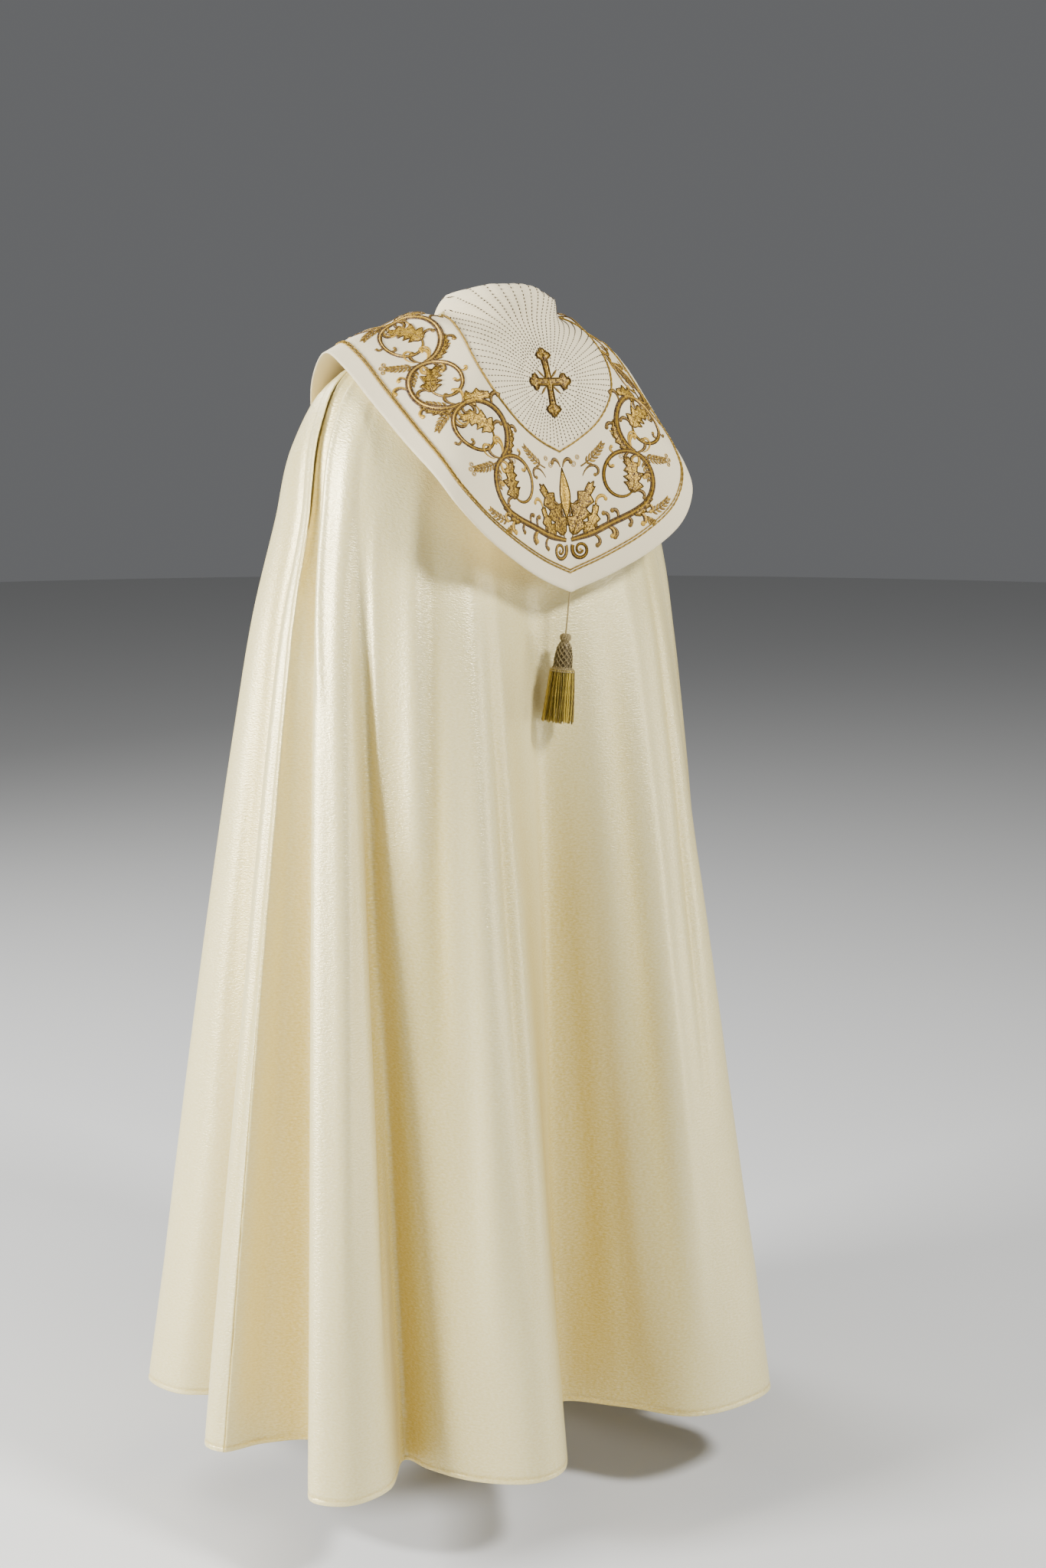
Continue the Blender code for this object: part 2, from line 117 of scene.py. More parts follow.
FOLDS = (
    Fold("left front edge", 6.0, 0.380, 4.0),
    Fold("left front roll", 17.0, 0.425, 16.0),
    Fold("left front valley", 31.0, 0.322, 33.0),
    Fold("fold A rise", 44.0, 0.425, 52.0),
    Fold("fold A crest", 54.5, 0.471, 68.0),
    Fold("fold A back", 61.5, 0.432, 76.5),
    Fold("fold A inner side", 64.0, 0.380, 81.5),
    Fold("valley A to B", 68.5, 0.318, 85.0),
    Fold("fold B flank", 76.5, 0.400, 87.5),
    Fold("fold B crest", 83.0, 0.436, 89.8),
    Fold("side seam, left", 86.8, 0.424, 91.5),
    Fold("fold B slope", 88.2, 0.372, 93.2),
    Fold("valley B to C", 94.5, 0.320, 95.6),
    Fold("fold C flank", 105.0, 0.392, 97.2),
    Fold("fold C edge", 110.3, 0.441, 98.6),
    Fold("fold C crest", 116.2, 0.430, 102.0),
    Fold("fold C turn", 120.4, 0.376, 105.2),
    Fold("valley C to D", 118.2, 0.296, 108.5),
    Fold("fold D start", 124.5, 0.309, 113.5),
    Fold("fold D face", 136.0, 0.332, 125.0),
    Fold("fold D crest", 148.5, 0.341, 138.0),
    Fold("fold D turn", 155.8, 0.318, 144.5),
    Fold("fold D wall", 163.0, 0.226, 153.0),
    Fold("valley D to E", 177.0, 0.141, 168.0),
    Fold("fold E rise", 193.0, 0.214, 189.0),
    Fold("fold E face", 198.6, 0.298, 206.0),
    Fold("fold E broad", 209.5, 0.348, 220.0),
    Fold("fold E crest", 219.0, 0.374, 229.0),
    Fold("fold E turn", 227.5, 0.355, 233.5),
    Fold("valley E to F", 237.0, 0.285, 239.0),
    Fold("fold F crest", 249.5, 0.364, 248.0),
    Fold("fold F turn", 258.0, 0.358, 254.0),
    Fold("valley F to G", 266.0, 0.292, 261.0),
    Fold("side seam, right", 274.5, 0.400, 268.5),
    Fold("fold G crest", 280.0, 0.432, 272.5),
    Fold("fold G turn", 287.5, 0.402, 279.0),
    Fold("valley G to H", 294.5, 0.318, 285.5),
    Fold("fold H crest", 306.0, 0.464, 299.0),
    Fold("fold H turn", 315.0, 0.425, 309.0),
    Fold("right front valley", 328.0, 0.325, 326.0),
    Fold("right front roll", 343.0, 0.428, 344.0),
    Fold("right front edge", 354.0, 0.382, 356.0),
)
HOOD_PLACES = (
    HoodPlace("front edge", (0.012, -0.200, -0.207), (0.012, -0.139, -0.116), 6.0, 0.043),
    HoodPlace("front corner", (0.060, -0.196, -0.198), (0.042, -0.136, -0.110), 22.0, 0.043),
    HoodPlace("chest", (0.122, -0.176, -0.162), (0.084, -0.123, -0.084), 40.0, 0.043),
    HoodPlace("front of shoulder", (0.180, -0.138, -0.107), (0.120, -0.098, -0.045), 58.0, 0.043),
    HoodPlace("shoulder, front", (0.214, -0.094, -0.057), (0.143, -0.067, -0.007), 74.0, 0.045),
    HoodPlace("shoulder top", (0.229, -0.045, -0.019), (0.152, -0.031, 0.012), 90.0, 0.052),
    HoodPlace("shoulder, back", (0.227, -0.006, -0.036), (0.149, 0.002, 0.004), 102.0, 0.064),
    HoodPlace("back of shoulder", (0.220, 0.045, -0.080), (0.140, 0.040, -0.017), 114.0, 0.080),
    HoodPlace("blade, upper", (0.211, 0.095, -0.124), (0.135, 0.078, -0.042), 127.0, 0.100),
    HoodPlace("blade", (0.202, 0.138, -0.160), (0.128, 0.104, -0.062), 139.0, 0.121),
    HoodPlace("corner", (0.190, 0.165, -0.193), (0.116, 0.120, -0.080), 149.0, 0.1335),
    HoodPlace("corner, lower", (0.158, 0.179, -0.230), (0.096, 0.129, -0.098), 158.0, 0.1435),
    HoodPlace("sweep", (0.109, 0.175, -0.263), (0.066, 0.131, -0.118), 166.0, 0.151),
    HoodPlace("sweep to tip", (0.053, 0.161, -0.290), (0.033, 0.128, -0.133), 173.0, 0.1555),
    HoodPlace("tip", (0.0, 0.148, -0.309), (0.0, 0.127, -0.143), 180.0, 0.159),
)
ROLL_ROWS = (
    RollRow("turned in end", -0.0105, 0.0010),
    RollRow("inner side", -0.0100, 0.0120),
    RollRow("crest", -0.0045, 0.0200),
    RollRow("outer side", 0.0010, 0.0120),
    RollRow("seam", 0.0, 0.0),
)
CREST_ROW, SEAM_ROW = 2, 4


def through(values: Sequence, knots: Sequence, at: Sequence) -> Array:
    """Read a smooth curve through values.

    Args:
        values: one value, or one array of values, for each knot.
        knots: rising knot values.
        at: the places to read, in knot units.

    Returns:
        One value or array of values for each place.
    """
    values, knots, at = (np.asarray(item, float) for item in (values, knots, at))
    tail = (1,) * (values.ndim - 1)
    steps = np.diff(knots)
    slopes = np.diff(values, axis=0) / steps.reshape(-1, *tail)
    share = (steps[1:] / (steps[1:] + steps[:-1])).reshape(-1, *tail)
    tangents = np.concatenate(
        [slopes[:1], slopes[:-1] * share + slopes[1:] * (1 - share), slopes[-1:]])
    i = np.clip(np.searchsorted(knots, at, side="right") - 1, 0, len(steps) - 1)
    step = steps[i].reshape(-1, *tail)
    t = ((at - knots[i]) / steps[i]).reshape(-1, *tail)
    rise = t * t * (3 - 2 * t)
    return (values[i] * (1 - rise) + values[i + 1] * rise
            + step * (tangents[i] * t * (1 - t) ** 2 - tangents[i + 1] * t * t * (1 - t)))


def ease(value: Array) -> Array:
    """Smooth step from 0 to 1 of a value, held at both ends."""
    t = np.clip(value, 0.0, 1.0)
    return t * t * (3 - 2 * t)


def unit(vectors: Array) -> Array:
    """Vectors of the last axis, each made one long."""
    return vectors / np.maximum(np.linalg.norm(vectors, axis=-1, keepdims=True), 1e-12)


def run_length(points: Array) -> Array:
    """Distance travelled along a line of points, from 0 at its first one."""
    gaps = np.linalg.norm(np.diff(points, axis=0), axis=-1)
    return np.concatenate([np.zeros_like(gaps[:1]), np.cumsum(gaps, axis=0)])


def read_line(at: Array, way: Array, values: Array) -> Array:
    """Columns of values that are known along a way, read at other distances along it."""
    return np.column_stack([np.interp(at, way, column) for column in values.T])


def evenly(points: Array, step: float) -> Array:
    """The same line of points with even steps of about the length given."""
    way = run_length(points)
    count = max(2, int(round(way[-1] / step)) + 1)
    return read_line(np.linspace(0.0, way[-1], count), way, points)


def smooth_line(points: Sequence, step: float) -> Array:
    """Smooth curve through a few points, in even steps of about the length given."""
    points = np.asarray(points, float)
    knots = run_length(points)
    dense = through(points, knots, np.linspace(0.0, knots[-1], CURVE_DENSITY * len(points)))
    return evenly(dense, step)


def compass(angles: Array) -> Array:
    """Flat unit steps at angles in radians, one row each."""
    return np.column_stack([np.cos(angles), np.sin(angles)])


def left_of(headings: Array) -> Array:
    """Flat directions, each turned a quarter turn to its left."""
    return np.stack([-headings[..., 1], headings[..., 0]], axis=-1)


def face_normals(points: Array) -> Array:
    """Outward unit normals of a grid of points, rows down and columns round."""
    down = np.gradient(points, axis=0)
    across = np.gradient(points, axis=1)
    return unit(np.cross(down, across))


def grid_faces(rows: int, columns: int, closed: bool = False) -> Array:
    """Four corners of every face of a grid, numbered row by row.

    Args:
        rows: number of rows of points.
        columns: number of columns of points.
        closed: True where the last column meets the first.

    Returns:
        One row of four point numbers for each face.
    """
    index = np.arange(rows * columns).reshape(rows, columns)
    if closed:
        index = np.column_stack([index, index[:, :1]])
    return np.stack([index[:-1, :-1], index[1:, :-1], index[1:, 1:], index[:-1, 1:]],
                    axis=-1).reshape(-1, 4)


def value_noise(places: Array, seed: int) -> Array:
    """Smooth noise from -1 to 1 along a line of places, one wave a unit."""
    draws = np.random.default_rng(seed).uniform(-1.0, 1.0, NOISE_DRAWS)
    cell = np.floor(places).astype(int)
    rise = ease(places - cell)
    return draws[cell % NOISE_DRAWS] * (1 - rise) + draws[(cell + 1) % NOISE_DRAWS] * rise


@dataclass
class Piece:
    """Points, faces and values of one visible piece, gathered before its mesh is made."""

    name: str
    points: list[Array] = field(default_factory=list)
    faces: list[Array] = field(default_factory=list)
    uvs: list[Array] = field(default_factory=list)
    tones: list[Array] = field(default_factory=list)
    count: int = 0

    def add(self, points: Array, faces: Array, uvs: Array, tones: Array) -> None:
        """Add one patch.

        Args:
            points: its points, one row each.
            faces: its faces, numbered from its own first point.
            uvs: two pattern coordinates in metres for each point.
            tones: one value from 0 to 1 for each point.
        """
        self.points.append(points)
        self.faces.append(faces + self.count)
        self.uvs.append(uvs)
        self.tones.append(np.broadcast_to(tones, len(points)))
        self.count += len(points)

    def make(self) -> bpy.types.Object:
        """The piece as a new object, shaded smooth up to the sharp angle."""
        mesh = bpy.data.meshes.new(self.name)
        faces = [face for patch in self.faces for face in patch.tolist()]
        mesh.from_pydata(np.concatenate(self.points).tolist(), [], faces)
        corners = np.empty(len(mesh.loops), int)
        mesh.loops.foreach_get("vertex_index", corners)
        layer = mesh.uv_layers.new(name="pattern")
        layer.data.foreach_set("uv", np.concatenate(self.uvs)[corners].ravel())
        tone = mesh.attributes.new("tone", "FLOAT", "POINT")
        tone.data.foreach_set("value", np.concatenate(self.tones))
        mesh.shade_smooth()
        mesh.set_sharp_from_angle(angle=SHARP_ANGLE)
        mesh.update()
        piece = bpy.data.objects.new(self.name, mesh)
        bpy.context.scene.collection.objects.link(piece)
        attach(piece, BODY)
        LOG.info("%s: %d faces", self.name, len(mesh.polygons))
        return piece


class MantleForm:
    """The mantle's outer face as a smooth surface: a place round it and a way down it."""

    HEM_HEIGHT = -1.38
    RIDGE_ROUNDNESS = 1.35
    HEM_SIDE, HEM_BACK, HEM_FRONT = 0.415, 0.320, 0.430
    SKIRT_STEPS = (0.10, 0.22, 0.38, 0.58, 0.79, 1.00)
    SKIRT_BOW, BOW_RISE, BOW_BACK_SHARE = 0.012, 0.5, 0.3

    def __init__(self) -> None:
        """Work out the knots round and down the mantle."""
        rows = np.array([fold[1:] for fold in FOLDS])
        hem = np.radians(rows[:, 0])
        plan = np.column_stack([rows[:, 1] * np.sin(hem), -rows[:, 1] * np.cos(hem)])
        self.stations = np.column_stack([plan, np.radians(rows[:, 2])])
        gaps = np.linalg.norm(np.diff(plan, axis=0), axis=1) ** 0.5
        self.knots = np.concatenate([[0.0], np.cumsum(gaps)])
        gaps = np.linalg.norm(np.diff(self.rings(self.knots), axis=0), axis=2).mean(axis=1)
        self.down = np.concatenate([[0.0], np.cumsum(gaps)])

    def fold_knot(self, name: str) -> float:
        """Place round the mantle of a named fold row."""
        return float(self.knots[[fold.name for fold in FOLDS].index(name)])

    @staticmethod
    def oval_reach(azimuth: Array, side: float, back: float, front: float, power: float) -> Array:
        """Distance from an oval's centre to its rim, at azimuths in radians."""
        along = -np.cos(azimuth)
        depth = np.where(along > 0, back, front)
        return (np.abs(np.sin(azimuth) / side) ** power + np.abs(along / depth) ** power) ** (-1 / power)

    @classmethod
    def section_ring(cls, section: Section, azimuth: Array, depth: Array | float) -> Array:
        """Points of one shoulder ring.

        Args:
            section: the ring's sizes.
            azimuth: where each point is, in radians round the wearer.
            depth: how far each point's fold stands out at the hem.

        Returns:
            One point for each azimuth.
        """
        middle = section.middle_y
        reach = cls.oval_reach(azimuth, section.side, section.back - middle,
                               section.front + middle, section.squareness)
        reach = reach + section.relief * depth
        facing = -np.cos(azimuth)
        end_z = np.where(facing > 0, section.back_z, section.front_z)
        z = section.side_z + (end_z - section.side_z) * np.abs(facing) ** cls.RIDGE_ROUNDNESS
        return np.column_stack([reach * np.sin(azimuth), middle + reach * facing, z])

    @classmethod
    def standing_out(cls, x: Array, y: Array) -> Array:
        """How far places of the hem stand out from the hem's mean oval."""
        azimuth = np.arctan2(x, -y)
        return np.hypot(x, y) - cls.oval_reach(azimuth, cls.HEM_SIDE, cls.HEM_BACK, cls.HEM_FRONT, 2.0)

    def rings(self, around: Array) -> Array:
        """Every ring of the mantle, neck to hem, at places round it."""
        x, y, azimuth = through(self.stations, self.knots, around).T
        depth = self.standing_out(x, y)
        rings = [self.section_ring(section, azimuth, depth) for section in SECTIONS]
        yoke = rings[-1]
        hem = np.column_stack([x, y, np.full_like(x, self.HEM_HEIGHT)])
        outwards = np.column_stack([np.sin(azimuth), -np.cos(azimuth), np.zeros_like(x)])
        sideways = self.BOW_BACK_SHARE + (1 - self.BOW_BACK_SHARE) * np.sin(azimuth) ** 2
        for step in self.SKIRT_STEPS:
            bow = self.SKIRT_BOW * math.sin(math.pi * step ** self.BOW_RISE) * sideways
            rings.append(yoke + (hem - yoke) * step + outwards * bow[:, None])
        return np.array(rings)

    def points(self, around: Array, down: Array) -> Array:
        """Outer face of the mantle: a row of points for each way down it."""
        return through(self.rings(around), self.down, down)

    def depth(self, around: Array) -> Array:
        """How far each place's fold stands out at the hem from the hem's mean oval."""
        x, y, _ = through(self.stations, self.knots, around).T
        return self.standing_out(x, y)


class HoodForm:
    """The hood's upper face, its flat pattern, and the way from one to the other."""

    WALL = 0.0024
    SEWN_DEPTH = 0.0004
    HEART = (0.0, 0.0, -0.12)
    FIELD_BULGE, BAND_BULGE = 0.0065, 0.0035
    FRONT_ROLL_SCALE = 0.6
    VALLEY_SLOPE, VALLEY_WIDTH, VALLEY_START, VALLEY_RUN = 0.24, 0.008, 0.55, 0.45
    BRIDGE, BRIDGE_OUT, BRIDGE_SPREAD, BRIDGE_LIFT = 0.0045, 0.003, 0.011, 0.6
    BRIDGE_AZIMUTH, BRIDGE_FADE = 70.0, 50.0
    TIP = len(HOOD_PLACES) - 1
    COARSE_STEP, COARSE_ROLL_ROWS, COARSE_ROWS = 2, 3, 12
    FINE_STEP, FINE_ROWS = 24, 133
    SETTLE_ROUNDS, SETTLE_PACE, SEARCH_ROUNDS = 1500, 1.6, 5
    LINE_CLEARANCE = 0.0075
    LEVEL_PLACES = (-0.11, -0.075, -0.045, -0.015, 0.015, 0.045, 0.075, 0.11)
    LEVEL_HEIGHTS = (-0.003, -0.0075, -0.0075, -0.0025, 0.0025, 0.0055, 0.004, 0.001)
    LEVEL_TABLE = np.linspace(-0.11, 0.11, 89)
    SLUMP_RUN, SLUMP_START, SLUMP_FADE = 0.017, -0.02, 0.05
    PUCKER, PUCKER_LENGTH, PUCKER_SEED, PUCKER_DEPTH = 0.0010, 0.0085, 5, 0.6
    NOTCH, NOTCH_X, NOTCH_WIDTH = 0.0050, -0.054, 0.006

    def __init__(self) -> None:
        """Work out the ring knots, the flat pattern and the fine tables of both."""
        places = np.arange(len(HOOD_PLACES))
        gaps = np.linalg.norm(np.diff(self.rings(places), axis=0), axis=2).mean(axis=1)
        self.out = np.concatenate([[0.0], np.cumsum(gaps)])
        self.level_heights = through(self.LEVEL_HEIGHTS, self.LEVEL_PLACES, self.LEVEL_TABLE)
        self.around_table = np.linspace(0.0, self.TIP, self.TIP * self.FINE_STEP + 1)
        self.out_table = np.linspace(self.out[CREST_ROW], self.out[-1], self.FINE_ROWS)
        self.spots = self.half_points(self.around_table, self.out_table)
        self.normals = self.half_normals(self.spots)
        self.flat = self.flat_table()
        self.tree = KDTree(self.flat.shape[0] * self.flat.shape[1])
        for number, place in enumerate(self.flat.reshape(-1, 2)):
            self.tree.insert((place[0], place[1], 0.0), number)
        self.tree.balance()

    @staticmethod
    def neck_normals(azimuth: Array) -> Array:
        """Outward normals of the mantle at its neck edge, at azimuths in radians."""
        top, below = (MantleForm.section_ring(row, azimuth, 0.0) for row in SECTIONS[:2])
        ahead = MantleForm.section_ring(SECTIONS[0], azimuth + PROBE, 0.0)
        return unit(np.cross(below - top, ahead - top))

    @classmethod
    def bulged(cls, points: Array, height: float) -> Array:
        """Points moved away from the middle of the chest by the height given."""
        return points + height * unit(points - np.array(cls.HEART))

    @classmethod
    def rings(cls, around: Array) -> Array:
        """Every ring of the hood's left half, from the neck roll out to its edge."""
        places = np.arange(len(HOOD_PLACES))
        edge = through([place.edge for place in HOOD_PLACES], places, around)
        middle = through([place.middle for place in HOOD_PLACES], places, around)
        azimuth = np.radians(through([place.neck_azimuth for place in HOOD_PLACES], places, around))
        seam = MantleForm.section_ring(SECTIONS[0], azimuth, 0.0)
        seam = seam + cls.neck_normals(azimuth) * (SEAM_GAP + cls.WALL + cls.SEWN_DEPTH)
        outwards = np.column_stack([np.sin(azimuth), -np.cos(azimuth), np.zeros_like(azimuth)])
        scale = 1 - (1 - cls.FRONT_ROLL_SCALE) * (1 + np.cos(azimuth)) / 2
        rise = np.column_stack([np.zeros_like(scale), np.zeros_like(scale), scale])
        rings = [seam + outwards * row.outwards + rise * row.upwards for row in ROLL_ROWS]
        rings.append(cls.bulged((seam + middle) / 2, cls.FIELD_BULGE))
        rings.append(middle)
        rings.append(cls.bulged((middle + edge) / 2, cls.BAND_BULGE))
        rings.append(edge)
        return np.array(rings)

    def half_points(self, around: Array, out: Array) -> Array:
        """Upper face of the left half: a row of points for each way out.

        The valley down the middle of the back is rounded, and the dip under the neck
        roll is filled a little, as stiff cloth bridges it.
        """
        points = through(self.rings(around), self.out, out)
        edge = self.out[-1]
        slope = self.VALLEY_SLOPE * ease((out - edge * self.VALLEY_START) / (edge * self.VALLEY_RUN))
        x = points[..., 0]
        points[..., 1] += slope[:, None] * (np.hypot(x, self.VALLEY_WIDTH) - np.abs(x))
        beyond = (out - self.out[SEAM_ROW] - self.BRIDGE_OUT) / self.BRIDGE_SPREAD
        bridge = self.BRIDGE * np.exp(-beyond ** 2)
        azimuth = through([place.neck_azimuth for place in HOOD_PLACES],
                          np.arange(len(HOOD_PLACES)), around)
        behind = ease((azimuth - self.BRIDGE_AZIMUTH) / self.BRIDGE_FADE)
        away = np.column_stack([np.sin(np.radians(azimuth)), -np.cos(np.radians(azimuth)),
                                np.full_like(azimuth, self.BRIDGE_LIFT)])
        return points + away * (bridge[:, None] * behind)[..., None]

    @staticmethod
    def half_normals(points: Array) -> Array:
        """Normals of the left half, with the tip's column kept in the mirror plane."""
        normals = face_normals(points)
        normals[:, -1, 0] = 0.0
        return unit(normals)

    def flat_table(self) -> Array:
        """Flat pattern places of the fine table, from a coarse grid laid out flat.

        Returns:
            Two pattern coordinates for each row and column of the fine table.
        """
        around = np.linspace(0.0, self.TIP, self.TIP * self.COARSE_STEP + 1)
        crest, seam, edge = self.out[CREST_ROW], self.out[SEAM_ROW], self.out[-1]
        out = np.concatenate([np.linspace(crest, seam, self.COARSE_ROLL_ROWS, endpoint=False),
                              np.linspace(seam, edge, self.COARSE_ROWS)])
        grid = self.half_points(around, out)
        flat = self.settled(grid, self.laid_out(grid))
        rows = np.array([through(row, around, self.around_table) for row in flat])
        return through(rows, out, self.out_table)

    @staticmethod
    def laid_out(grid: Array) -> Array:
        """First flat layout of a grid: the one that keeps its angles best.

        Args:
            grid: rows and columns of points; the last column is the mirror line.

        Returns:
            Flat places, with the mirror line on x = 0 and the first row's end at 0.
        """
        rows, columns = grid.shape[:2]
        index = np.arange(rows * columns).reshape(rows, columns)
        a, b = index[:-1, :-1].ravel(), index[1:, :-1].ravel()
        c, d = index[1:, 1:].ravel(), index[:-1, 1:].ravel()
        corners = np.concatenate([np.column_stack(three) for three in
                                  ((a, b, c), (a, c, d), (a, b, d), (b, c, d))])
        spots = grid.reshape(-1, 3)
        first, second, third = (spots[corners[:, k]] for k in range(3))
        length = np.linalg.norm(second - first, axis=1)
        along = unit(second - first)
        across = unit(np.cross(np.cross(along, third - first), along))
        local = np.zeros((len(corners), 3), complex)
        local[:, 1] = length
        local[:, 2] = ((third - first) * along).sum(1) + 1j * ((third - first) * across).sum(1)
        weights = np.roll(local, -2, axis=1) - np.roll(local, -1, axis=1)
        weights /= np.sqrt(length * local[:, 2].imag)[:, None]
        faces = np.arange(len(corners))
        system = np.zeros((2 * len(corners), 2 * len(spots)))
        for k in range(3):
            x, y = 2 * corners[:, k], 2 * corners[:, k] + 1
            system[2 * faces, x] += weights[:, k].real
            system[2 * faces, y] -= weights[:, k].imag
            system[2 * faces + 1, x] += weights[:, k].imag
            system[2 * faces + 1, y] += weights[:, k].real
        middle = index[:, -1]
        held = np.concatenate([2 * middle, [2 * middle[0] + 1, 2 * middle[-1] + 1]])
        values = np.zeros(len(held))
        values[-1] = -run_length(grid[:, -1])[-1]
        free = np.setdiff1d(np.arange(2 * len(spots)), held)
        moving = system[:, free]
        places = np.zeros(2 * len(spots))
        places[held] = values
        places[free] = np.linalg.solve(moving.T @ moving, -moving.T @ (system[:, held] @ values))
        flat = places.reshape(rows, columns, 2)
        flat[..., 0] *= math.copysign(1.0, flat[:, 0, 0].mean())
        return flat

    @classmethod
    def settled(cls, grid: Array, flat: Array) -> Array:
        """Flat layout after its edges and diagonals have drawn to their real lengths."""
        rows, columns = grid.shape[:2]
        index = np.arange(rows * columns).reshape(rows, columns)
        pairs = np.concatenate([np.column_stack([one.ravel(), other.ravel()]) for one, other in (
            (index[:, :-1], index[:, 1:]), (index[:-1], index[1:]),
            (index[:-1, :-1], index[1:, 1:]), (index[1:, :-1], index[:-1, 1:]))])
        spots, places = grid.reshape(-1, 3), flat.reshape(-1, 2).copy()
        real = np.linalg.norm(spots[pairs[:, 0]] - spots[pairs[:, 1]], axis=1)
        share = cls.SETTLE_PACE / np.bincount(pairs.ravel())[:, None]
        for _ in range(cls.SETTLE_ROUNDS):
            gap = places[pairs[:, 1]] - places[pairs[:, 0]]
            length = np.linalg.norm(gap, axis=1)
            push = gap * ((length - real) / length / 2)[:, None]
            move = np.zeros_like(places)
            np.add.at(move, pairs[:, 0], push)
            np.add.at(move, pairs[:, 1], -push)
            places += move * share
            places[index[:, -1], 0] = 0.0
        return places.reshape(rows, columns, 2)

    @staticmethod
    def read(table: Array, row: Array, column: Array) -> Array:
        """Values of a table at rows and columns with fractions."""
        r = np.clip(row.astype(int), 0, table.shape[0] - 2)
        c = np.clip(column.astype(int), 0, table.shape[1] - 2)
        s, t = (row - r)[:, None], (column - c)[:, None]
        return ((table[r, c] * (1 - t) + table[r, c + 1] * t) * (1 - s)
                + (table[r + 1, c] * (1 - t) + table[r + 1, c + 1] * t) * s)

    def found(self, flat: Array) -> tuple[Array, Array]:
        """Table rows and columns, with fractions, of places on the flat pattern's left half."""
        near = np.array([self.tree.find((x, y, 0.0))[1] for x, y in flat])
        row, column = (axis.astype(float) for axis in divmod(near, self.flat.shape[1]))
        rows, columns = self.flat.shape[:2]
        for _ in range(self.SEARCH_ROUNDS):
            here = self.read(self.flat, row, column)
            r = np.clip(row.astype(int), 0, rows - 2)
            c = np.clip(column.astype(int), 0, columns - 2)
            by_row = self.flat[r + 1, c] - self.flat[r, c]
            by_column = self.flat[r, c + 1] - self.flat[r, c]
            miss = flat - here
            size = by_row[:, 0] * by_column[:, 1] - by_row[:, 1] * by_column[:, 0]
            row = row + (miss[:, 0] * by_column[:, 1] - miss[:, 1] * by_column[:, 0]) / size
            column = column + (by_row[:, 0] * miss[:, 1] - by_row[:, 1] * miss[:, 0]) / size
            row, column = np.clip(row, 0, rows - 1), np.clip(column, 0, columns - 1)
        return row, column

    def carried(self, flat: Array, lift: Array | float) -> Array:
        """Places on the flat pattern, carried to the cloth and lifted off it.

        Args:
            flat: pattern places; a negative x is the right half.
            lift: height over the cloth, one value or one for each place.

        Returns:
            One point for each place.
        """
        side = np.where(flat[:, 0] < 0, -1.0, 1.0)
        row, column = self.found(np.column_stack([np.abs(flat[:, 0]), flat[:, 1]]))
        points = self.read(self.spots, row, column)
        points = points + unit(self.read(self.normals, row, column)) * np.reshape(lift, (-1, 1))
        points[:, 0] *= side
        return points

    def slumped(self, points: Array, out: Array) -> Array:
        """Points after the uneven set of the neck roll: high on one side, slack on the other.

        Args:
            points: places on the hood, of either half.
            out: way out of each, of a shape that fits.

        Returns:
            The moved places.
        """
        x, y = points[..., 0], points[..., 1]
        upper = ((1 - ease((out - self.out[CREST_ROW]) / self.SLUMP_RUN))
                 * ease((y - self.SLUMP_START) / self.SLUMP_FADE))
        pucker = self.PUCKER * value_noise(x / self.PUCKER_LENGTH, self.PUCKER_SEED)
        notch = self.NOTCH * np.exp(-((x - self.NOTCH_X) / self.NOTCH_WIDTH) ** 2)
        level = np.interp(x, self.LEVEL_TABLE, self.level_heights)
        shift = np.stack([np.zeros_like(x), self.PUCKER_DEPTH * pucker, level + pucker - notch], axis=-1)
        return points + shift * upper[..., None]

    def line(self, out: Array, step: float) -> tuple[Array, Array]:
        """Even points and their normals, front edge to tip, of a line on the cloth.

        Args:
            out: its way out for each table column.
            step: distance between points.

        Returns:
            The points, and the normals.
        """
        row = np.interp(out, self.out_table, np.arange(self.FINE_ROWS))
        column = np.arange(len(self.around_table), dtype=float)
        points = self.read(self.spots, row, column)
        way = run_length(points)
        at = np.linspace(0.0, way[-1], round(way[-1] / step))
        normals = read_line(at, way, self.read(self.normals, row, column))
        return read_line(at, way, points), unit(normals)

    def inner_line(self) -> Array:
        """Way out of the inner gold line for each table column."""
        places = np.arange(len(HOOD_PLACES))
        line = through([place.inner_line for place in HOOD_PLACES], places, self.around_table)
        return np.maximum(line, self.out[SEAM_ROW] + self.LINE_CLEARANCE)

    def edge_line(self, distance: float) -> Array:
        """Way out of a line at a real distance inside the hood's edge, for each column."""
        way = run_length(self.spots)
        left = way[-1] - way
        return np.array([np.interp(-distance, -left[:, c], self.out_table)
                         for c in range(left.shape[1])])


MANTLE = MantleForm()
HOOD = HoodForm()


